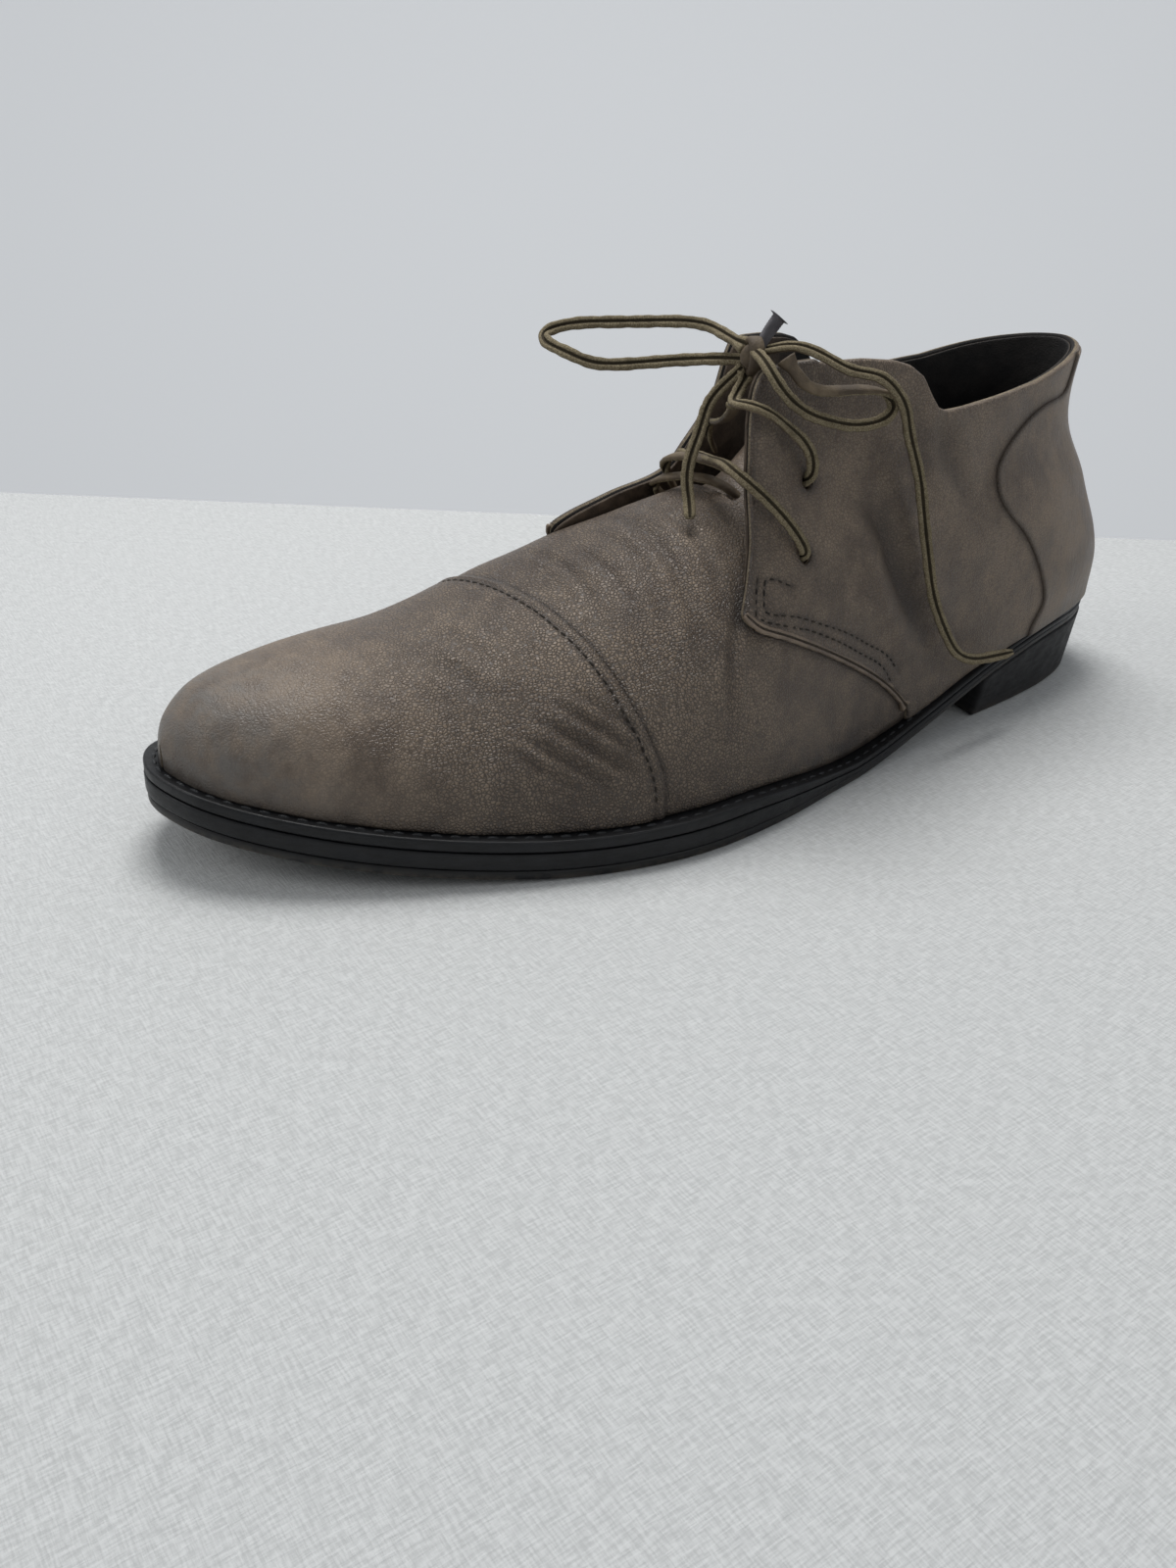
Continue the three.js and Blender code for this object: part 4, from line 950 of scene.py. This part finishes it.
def layer(name, inset, bottom, top, radius, material, worn=0.0):
    """One layer of the sole: its rounded side all round, and its upper and lower faces."""
    d = inset(share_at(outline[:, 1])) if callable(inset) else np.full(len(outline), float(inset))
    count = len(outline)
    turn = np.linspace(0, math.pi / 2, 5)
    section = [(radius - radius * math.sin(t), radius - radius * math.cos(t), 0) for t in turn]
    section += [(radius - radius * math.sin(t), -(radius - radius * math.cos(t)), 1) for t in turn[::-1]]
    section = [(radius + 3, 0, 0)] + section + [(radius + 3, 0, 1)]
    rings = []
    for inward_by, lift, level in section:
        xy = outline + inward * (d + inward_by)[:, None]
        s = share_at(xy[:, 1])
        z = (top(s) if level else bottom(s)) + lift
        rings.append(np.column_stack([xy, z]))
    points = np.vstack(rings)
    faces = []
    for k in range(len(rings) - 1):
        for j in range(count):
            a, b = k * count + j, k * count + (j + 1) % count
            faces.append((a, b, b + count, a + count))
    ring = rings[0][:, :2]
    verts, tri, _ = triangulate(ring[::3], (), 5.0, (2.0,))
    for level, height in ((0, bottom), (1, top)):
        start = len(points)
        points = np.vstack([points, np.column_stack([verts, height(share_at(verts[:, 1]))])])
        faces += [tuple(int(v) + start for v in (t if level else t[::-1])) for t in tri]
    direction = np.cross(points[faces[0][1]] - points[faces[0][0]], points[faces[0][2]] - points[faces[0][0]])
    if direction[2] > 0:
        edge = (len(rings) - 1) * count
        faces = [f[::-1] for f in faces[:edge]] + faces[edge:]
    obj = new_object(name, make_mesh(name, points, faces), [material])
    attribute(obj, "worn", np.clip(worn * np.exp(-np.abs(points[:, 2] - bottom(share_at(points[:, 1]))) / 0.7), 0, 1))
    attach(obj, "root")
    return obj


outsole = layer("outsole_leather", 0.3, sole_bottom, outsole_top, 0.7, edge_black, 0.5)
midsole = layer("midsole_leather", 0.0, lambda s: outsole_top(s) + 0.12, midsole_top, 0.6, edge_black)
welt = layer("welt_leather", 0.15, lambda s: midsole_top(s) + 0.12, sole_top, 0.7, edge_black)
insole = layer("insole_leather", lambda s: feather(s) + 2.6 + 2 * smooth_step(0.85, 1, s),
               lambda s: sole_top(s) + 0.4, lambda s: sole_top(s) + 2.9, 0.5, lining)
for obj, node in ((outsole, "outsole"), (midsole, "midsole"), (welt, "welt"), (insole, "insole")):
    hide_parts(node)


def heel_block():
    plan = Plan(0)
    y = plan.back - HEEL_LENGTH * np.linspace(0, 1, 60) ** 2
    wide = plan.x(1, plan.back - HEEL_LENGTH)
    loop = [(plan.x(side, v), v) for side, order in ((1, y), (-1, y[::-1])) for v in order]
    loop = np.array(loop)
    breast = 60
    curve = np.linspace(-1, 1, 26)[1:-1]
    x1, x0 = loop[breast - 1, 0], loop[breast, 0]
    middle = np.column_stack([(x1 + x0) / 2 - curve * (x1 - x0) / 2, plan.back - HEEL_LENGTH + 4 * (1 - curve ** 2)])
    loop = np.vstack([loop[:breast], middle, loop[breast:]])
    t = np.sqrt(np.clip((plan.back - loop[:, 1]) / HEEL_LENGTH, 0, 1))
    count = len(loop)
    levels = [(0.0, 1.2), (0.35, 0.45), (1.1, 0.0)] + [(h, 0.0) for h in np.linspace(2, 19, 12)] + [(19.6, 0.0)]
    centre = np.array([0, plan.back - 0.5 * HEEL_LENGTH])
    out = loop - centre
    out /= np.linalg.norm(out, axis=1)[:, None]
    rings = []
    for h, bevel in levels:
        share = h / levels[-1][0]
        down = 1 - share
        narrow = 1 - HEEL_TAPER / wide * down
        roof = sole_bottom(share_at(loop[:, 1])) - 0.15
        xy = np.column_stack([loop[:, 0] * narrow, loop[:, 1] - HEEL_TAPER * down * (1 - t)]) - out * bevel
        rings.append(np.column_stack([xy, roof * share]))
    points = np.vstack(rings + [[[0, centre[1], 0]], [[0, centre[1], sole_bottom(share_at(centre[1])) - 0.15]]])
    faces = []
    for k in range(len(rings) - 1):
        for j in range(count):
            a, b = k * count + j, k * count + (j + 1) % count
            faces.append((a, a + count, b + count, b))
    last = (len(rings) - 1) * count
    for j in range(count):
        faces.append((j, (j + 1) % count, len(points) - 2))
        faces.append((last + (j + 1) % count, last + j, len(points) - 1))
    obj = new_object("heel_rubber", make_mesh("heel", points, faces), [heel_black])
    obj.data.shade_auto_smooth(angle=0.7) if hasattr(obj.data, "shade_auto_smooth") else None
    attribute(obj, "worn", 0.5 * np.exp(-points[:, 2] / 1.2))
    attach(obj, "root")
    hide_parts("heel")


heel_block()

# Stitches


def capsules(name, places, along, out, length, width, height, material):
    """Short rounded threads at the given places, in one mesh."""
    u = np.linspace(-1, 1, 7)
    around = np.linspace(0, 2 * math.pi, 8, endpoint=False)
    points, faces = [], []
    for p, t, n in zip(places, along, out):
        b = np.cross(t, n)
        start = len(points)
        for v in u:
            r = math.sqrt(max(1 - abs(v) ** 3, 0.02))
            dip = -0.35 * height * v * v
            for w in around:
                points.append(p + t * v * length / 2 + b * math.cos(w) * r * width / 2
                              + n * (math.sin(w) * r * height / 2 + dip))
        for i in range(6):
            for j in range(8):
                faces.append((start + i * 8 + j, start + i * 8 + (j + 1) % 8,
                              start + (i + 1) * 8 + (j + 1) % 8, start + (i + 1) * 8 + j))
        faces += [tuple(start + j for j in range(7, -1, -1)), tuple(start + 48 + j for j in range(8))]
    obj = new_object(name, make_mesh(name, np.array(points), faces), [material])
    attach(obj, "root")
    return obj


def spaced(line, pitch):
    run = np.r_[0, np.cumsum(np.linalg.norm(np.diff(line, axis=0), axis=1))]
    at = np.arange(pitch / 2, run[-1] - pitch / 2, pitch)
    pick = lambda d: np.stack([np.interp(at + d, run, line[:, k]) for k in range(line.shape[1])], 1)
    t = pick(0.3) - pick(-0.3)
    return pick(0), t / np.linalg.norm(t, axis=1)[:, None]


places, along, out = [], [], []
for line in quarter_stitches:
    n = quarter_normal(line[:, 0], line[:, 1])
    form = as_form(line)
    move, _ = crease_depth(form)
    where, t = spaced(np.hstack([form + n * (1.45 + move - 0.36)[:, None], n]), 2.7)
    places += list(where[:, :3])
    t = t[:, :3] / np.linalg.norm(t[:, :3], axis=1)[:, None]
    along += list(t)
    out += list(where[:, 3:])
_, cap_grid, cap_normal = form_grid(cap_y - 4, cap_y - 1.2, 3, 1)
move, _ = crease_depth(cap_grid[1])
where, t = spaced(np.hstack([cap_grid[1] + cap_normal[1] * (1.05 + move - 0.32)[:, None], cap_normal[1]])[4:-4], 2.7)
places += list(where[:, :3])
along += list(t[:, :3] / np.linalg.norm(t[:, :3], axis=1)[:, None])
out += list(where[:, 3:])
capsules("upper_stitches", places, along, out, 2.0, 0.55, 0.5, thread)

ring = inset_outline(2.6)
ring = np.column_stack([ring, sole_top(share_at(ring[:, 1]))])
where, t = spaced(ring, 4.4)
capsules("welt_stitches", list(where), list(t), [np.array([0, 0, 1.0])] * len(where), 3.3, 1.1, 0.8, black_thread)

# Laces

FACE = [(-2.1, 0.2), (-1.9, 0.8), (-1.3, 1.05), (-0.6, 1.0), (-0.25, 0.7), (0, 0.05), (0.25, 0.7), (0.6, 1.0),
        (1.3, 1.05), (1.9, 0.8), (2.1, 0.2), (2.0, -0.5), (1.4, -1.0), (0.5, -1.1), (-0.5, -1.1), (-1.4, -1.0),
        (-2.0, -0.5)]
FACE_SLOTS = [0, 0, 0, 1, 1, 1, 1, 0, 0, 0, 2, 2, 2, 2, 2, 2, 2]
TOWARDS = np.array([0.65, -0.5, 0.55])
LACE = 0.76  # share of the section's size in use


def smoothed(path, step, closed, reach=2.6):
    """The path without its small kinks; its ends stay."""
    half = int(3 * reach / step)
    weights = np.exp(-0.5 * (np.arange(-half, half + 1) * step / reach) ** 2)
    weights /= weights.sum()
    if closed:
        wide = np.vstack([path[-half:], path, path[:half]])
    else:
        wide = np.vstack([2 * path[0] - path[half:0:-1], path, 2 * path[-1] - path[-2:-half - 2:-1]])
    return np.stack([np.convolve(wide[:, k], weights, "valid") for k in range(3)], 1)


def strip(name, route, hints=None, wide=1.0, closed=False, taper=(0.8, 1.6), materials=None, fine=0.55):
    """A flat lace along a route; hints are the directions that its grooved face looks in, along the route."""
    path = catmull(route, closed=closed, count=max(int(route_length(route) / fine), 36))
    path = smoothed(path, fine, closed)
    t = np.gradient(path, axis=0)
    if closed:
        t = np.roll(path, -1, 0) - np.roll(path, 1, 0)
    t /= np.linalg.norm(t, axis=1)[:, None]
    hints = np.array(hints if hints is not None else [TOWARDS, TOWARDS], float)
    at = np.linspace(0, len(hints) - 1, len(path))
    n = np.stack([np.interp(at, np.arange(len(hints)), hints[:, k]) for k in range(3)], 1)
    n -= (n * t).sum(1)[:, None] * t
    n /= np.linalg.norm(n, axis=1)[:, None]
    b = np.cross(t, n)
    section = np.array(FACE)
    share = np.linspace(0, 1, len(path))
    size = wide * LACE * np.interp(share, [0, 0.03, 0.97, 1], [taper[0], 1, 1, taper[1]])
    rough = 1 + 0.045 * np.sin(share * 97) + 0.03 * np.sin(share * 213 + 1)
    points = (path[:, None] + b[:, None] * (section[:, 0][None, :, None] * (size * rough)[:, None, None])
              + n[:, None] * (section[:, 1][None, :, None] * size[:, None, None]))
    rows, columns = points.shape[:2]
    faces, slots = [], []
    for i in range(rows if closed else rows - 1):
        for j in range(columns):
            k, m = (i + 1) % rows, (j + 1) % columns
            faces.append((i * columns + j, k * columns + j, k * columns + m, i * columns + m))
            slots.append(FACE_SLOTS[j])
    if not closed:
        faces += [tuple(range(columns)), tuple((rows - 1) * columns + j for j in range(columns - 1, -1, -1))]
        slots += [0, 0]
    mesh = make_mesh(name, points.reshape(-1, 3), faces, slots)
    return new_object(name, mesh, materials or [lace_raw, lace_groove_shade, lace_face]), path


def route_length(route):
    return float(np.linalg.norm(np.diff(np.asarray(route, float), axis=0), axis=1).sum())


def ride_lace(obj, node):
    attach(obj, "root")
    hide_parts(node)


def hole_place(side, at, up):
    a = np.array([side_place(side, np.array([at]), np.array([side_z(up)]))[0]])
    z = np.array([side_z(up)])
    return quarter_point(a, z)[0], quarter_normal(a, z)[0]


def from_hole(hole, route, out=2.2):
    p, n = hole_place(*hole)
    return [tuple(p - n * 4), tuple(p - n * 0.6), tuple(p + n * out)] + route


CROSSING_OUT = [(33.6, -4, 72.8), (31.4, -8.4, 78), (28.8, -13.6, 83), (24.2, -16.4, 86.2), (17, -14.2, 86.6),
                (8, -10.6, 85), (-2, -7.4, 83.8), (-10, -4, 82)]
CROSSING_IN = [(-13.5, -4, 71), (-13, -8.6, 77), (-9.5, -11.4, 81.4), (-4, -11.8, 83.4), (1, -10.8, 84.2), (8, -9.8, 84.4),
               (14, -8.5, 83.4), (18, -6.5, 81.5)]
BAR = [(-12.5, -8.5, 69.5), (-14.8, -11.5, 73), (-10.5, -12.6, 75.8), (-4, -11.5, 78), (2, -10.8, 79.2),
       (6, -8.6, 79.2), (9, -5, 77.4), (11, -1.5, 74)]
TOP_LATERAL = [(28.9, 5.0, 88.2), (28.2, 2.2, 92.5), (27.6, -3.4, 96.4), (27, -10.9, 101.3), (22.5, -14.4, 102.4),
               (16.5, -12.6, 101.2), (13.5, -8, 103.2), (13, -5.5, 106.5)]
TOP_MEDIAL = [(-11, 7, 81), (-9.5, 2, 87.5), (-4, -1.8, 91.4), (4, -5.1, 93.3), (12, -8.9, 97),
              (16, -11, 100.5)]
KNOT = np.array([14, -4.6, 111.3])
LOOP_LEFT = [(12.2, -3.3, 109.6), (9.4, -3.4, 109.5), (6, -5.6, 109.4), (1, -9, 108.7), (-3, -12.4, 108.1),
             (-6.4, -17, 107.5), (-8, -22, 107.2), (-11, -31.7, 107), (-14, -35.4, 107.5), (-18, -37.6, 109),
             (-24, -38.8, 109.9), (-29.4, -38.6, 111), (-31.4, -36.5, 112.3), (-30, -33.6, 113.4), (-27, -29.3, 114.5),
             (-22, -22, 115), (-17, -14.7, 115.4), (-11, -8.3, 116), (-5, -5, 116), (1, -5, 115.2), (5.6, -5.4, 114.4),
             (9.6, -5.6, 113.8), (12, -5.4, 113.4)]
LOOP_RIGHT = [(16.2, -6.4, 113), (19, -7, 112.4), (23.5, -8.2, 110.8), (26.6, -7.6, 107.4), (28.2, -5.2, 104),
              (29, -1.6, 101.2), (30.4, 1.9, 99.2), (31.4, 6.8, 97.8), (32.4, 13.1, 96.2), (33.8, 19, 96.3),
              (35, 23.8, 97.8), (35.4, 25.4, 100.6), (34.8, 23.6, 103.4), (32.8, 16.6, 105), (30.8, 10.3, 104.9), (29.2, 4.9, 104.9),
              (28, 0.2, 106.4), (26.4, -1.8, 109.4), (23.6, -2.8, 112.2)]
END_LONG = [(16.4, -2.6, 113), (19.6, -1.2, 114.2), (22.5, 0.6, 115), (26, 3.4, 114.2), (29.5, 7, 112), (32.4, 11, 109.6),
            (35.8, 18, 108.6), (38, 25, 102), (36.5, 30.3, 93.2), (35.8, 34.8, 86.2), (35.8, 38, 80), (37, 40.4, 69.5),
            (39, 41.9, 59.8), (40.5, 45.2, 47.7), (41.5, 52.5, 35.4), (42, 57, 29.7), (42, 63.8, 26.4), (41, 75.5, 24.6),
            (40, 85.3, 23.6)]
END_SHORT = [(12, -6, 108.4), (9.8, -7.4, 105.6), (7.6, -9, 102.8), (7, -12.4, 99.2), (8, -14.8, 93.3), (9.5, -19, 86.8),
             (10.6, -20.6, 80.8), (12.5, -20.6, 76.8), (16, -23, 73.6)]
UPWARD = np.array([0.35, -0.25, 0.9])

def edge_roll(name, line):
    """The doubled lower edge of a quarter, from its front corner down to the sole."""
    form, normal = as_form(line), quarter_normal(line[:, 0], line[:, 1])
    corner = int(form[:, 1].argmin())
    route = (form + normal * 0.95)[corner::5]
    obj, _ = strip(name, [tuple(p) for p in route], list(normal[corner::5]), 0.75, materials=[leather, dark_edge, leather])
    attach(obj, "root")


edge_roll("outer_quarter_edge", lateral_front)
edge_roll("inner_quarter_edge", medial_front)
crossing, _ = strip("lace_crossing_lower", from_hole(HOLES[0], CROSSING_OUT), [TOWARDS, TOWARDS, UPWARD, UPWARD])
ride_lace(crossing, "lace_crossing")
crossing_in, _ = strip("lace_crossing_under", CROSSING_IN, [-UPWARD, -UPWARD], 0.95)
bar, _ = strip("lace_bar_strip", BAR, [-UPWARD, -UPWARD], 0.95)
ride_lace(bar, "lace_bar")
top, _ = strip("lace_top_outer", from_hole(HOLES[1], TOP_LATERAL), [TOWARDS, TOWARDS, UPWARD, TOWARDS])
ride_lace(top, "lace_top")
top_in, _ = strip("lace_top_inner", TOP_MEDIAL, [-UPWARD, UPWARD], 0.95)
for extra in (crossing_in, top_in):
    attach(extra, "root")
loop_left, left_path = strip("lace_loop_left_strip", LOOP_LEFT, [TOWARDS, TOWARDS, (0.5, -0.8, 0.4), TOWARDS, TOWARDS])
loop_right, right_path = strip("lace_loop_right_strip", LOOP_RIGHT, [TOWARDS, TOWARDS, TOWARDS, -UPWARD, -TOWARDS])
end_long, long_path = strip("lace_end_long_strip", END_LONG, [UPWARD, TOWARDS, TOWARDS, TOWARDS, (0.8, 0.2, 0.6)],
                            taper=(1, 0.5))
end_short, short_path = strip("lace_end_short_strip", END_SHORT, [TOWARDS, TOWARDS, TOWARDS], taper=(1, 0.7))


def knot_piece():
    """The wrap of lace round the bow, with the strands gathered inside it."""
    across = np.array(CAM_RIGHT)
    upright = np.array([0.05, -0.1, 1.0])
    upright -= upright @ across * across
    upright /= np.linalg.norm(upright)
    depth = np.cross(across, upright)
    turn = np.linspace(0, 2 * math.pi, 24, endpoint=False)
    ring = [tuple(KNOT + upright * 3.9 * math.cos(w) + depth * 3.0 * math.sin(w) + across * 0.5 * math.sin(w))
            for w in turn]
    path = catmull(ring, closed=True, count=72)
    section = np.array([(-1.9, 0.2), (-1.6, 0.75), (-0.8, 0.95), (0.8, 0.95), (1.6, 0.75), (1.9, 0.2), (1.7, -0.6),
                        (-1.7, -0.6)])
    out = path - KNOT
    out /= np.linalg.norm(out, axis=1)[:, None]
    rows, columns = len(path), len(section)
    points = (path[:, None] + np.array(across)[None, None] * section[:, 0][None, :, None]
              + out[:, None] * section[:, 1][None, :, None]).reshape(-1, 3)
    faces = [(i * columns + j, i * columns + (j + 1) % columns, (i + 1) % rows * columns + (j + 1) % columns,
              (i + 1) % rows * columns + j) for i in range(rows) for j in range(columns)]
    start = len(points)
    core = []
    for i in range(17):
        for j in range(20):
            v, w = math.pi * i / 16, 2 * math.pi * j / 20
            wave = 1 + 0.1 * math.sin(3 * w)
            core.append(KNOT + across * 3.4 * math.cos(v) + upright * 3.3 * math.sin(v) * math.cos(w) * wave
                        + depth * 2.6 * math.sin(v) * math.sin(w) * wave)
    points = np.vstack([points, core])
    faces += [(start + i * 20 + j, start + (i + 1) * 20 + j, start + (i + 1) * 20 + (j + 1) % 20,
               start + i * 20 + (j + 1) % 20) for i in range(16) for j in range(20)]
    return new_object("knot_wrap", make_mesh("knot_wrap", points, faces), [lace_face])


knot = knot_piece()
ride_lace(knot, "lace_knot")
stub, _ = strip("lace_stub", [(14, -4, 111), (14.1, -2.6, 114), (14.5, -0.7, 117), (15.2, 1.6, 120.3)],
                [(-0.3, 0.3, 1), (-0.6, 0.6, 0.6)], 1.1, materials=[stub_leather, stub_leather, stub_leather])
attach(stub, "root")
for obj, node in ((loop_left, "lace_loop_left"), (loop_right, "lace_loop_right"), (end_long, "lace_end_long"),
                  (end_short, "lace_end_short")):
    ride_lace(obj, node)

# Table, wall and light

stage = []


def plane(name, corners, material):
    mesh = bpy.data.meshes.new(name)
    mesh.from_pydata([tuple(c) for c in corners], [], [(0, 1, 2, 3)])
    obj = new_object(name, mesh, [material], smooth=False)
    return obj


cloth = Nodes("pale_cloth")
warp = cloth.noise(0.5, 2, 0.6, cloth.stretch(0.12, 1, 1, (0, 0, 0.6)))
weft = cloth.noise(0.5, 2, 0.6, cloth.stretch(1, 0.12, 1, (0, 0, 0.6)))
weave = cloth.math("ADD", warp, weft)
cloth_colour = cloth.mix(cloth.ramp(weave, 0.7, 1.3), rgb(184, 186, 186), rgb(206, 208, 208))
cloth_material = cloth.finish(cloth_colour, 0.85, cloth.bump(weave, 0.35, 0.5), Specular_IOR_Level=0.25)
wall = Nodes("pale_wall")
wall_material = wall.finish(rgb(222, 225, 228), 0.95, Specular_IOR_Level=0.1, Emission_Strength=0.3,
                            Emission_Color=(0.94, 0.96, 0.98, 1))
toward = np.array(CAM_AHEAD[:2]) / np.linalg.norm(CAM_AHEAD[:2])
sideways = np.array([-toward[1], toward[0]])
corner = lambda d, w, z: (toward[0] * d + sideways[0] * w, toward[1] * d + sideways[1] * w, z)
plane("table_top", [corner(-2, -3, 0), corner(0.216, -3, 0), corner(0.216, 3, 0), corner(-2, 3, 0)], cloth_material)
plane("far_wall", [corner(1.6, -6, -2), corner(1.6, 6, -2), corner(1.6, 6, 4), corner(1.6, -6, 4)], wall_material)

world = bpy.data.worlds.new("studio")
bpy.context.scene.world = world
world.use_nodes = True
world.node_tree.nodes["Background"].inputs["Color"].default_value = (0.93, 0.96, 1, 1)
world.node_tree.nodes["Background"].inputs["Strength"].default_value = 0.3


def area_light(name, place, target, size, power, colour=(1, 1, 1)):
    data = bpy.data.lights.new(name, "AREA")
    data.energy = power
    data.size = size
    data.color = colour
    obj = bpy.data.objects.new(name, data)
    bpy.context.scene.collection.objects.link(obj)
    obj.location = place
    obj.rotation_euler = (Vector(target) - Vector(place)).to_track_quat("-Z", "Y").to_euler()
    return obj


area_light("overhead", (-0.3, 0.1, 1.05), (0, 0, 0.05), 0.5, 9.2, (1, 0.99, 0.98))
area_light("left_window", (-0.35, -1.1, 0.75), (0, 0, 0.05), 0.6, 3.6, (1, 0.99, 0.98))
area_light("fill", (1.2, 0.2, 0.7), (0, 0, 0.05), 0.8, 1.6)

bpy.context.scene.view_settings.view_transform = "Standard"
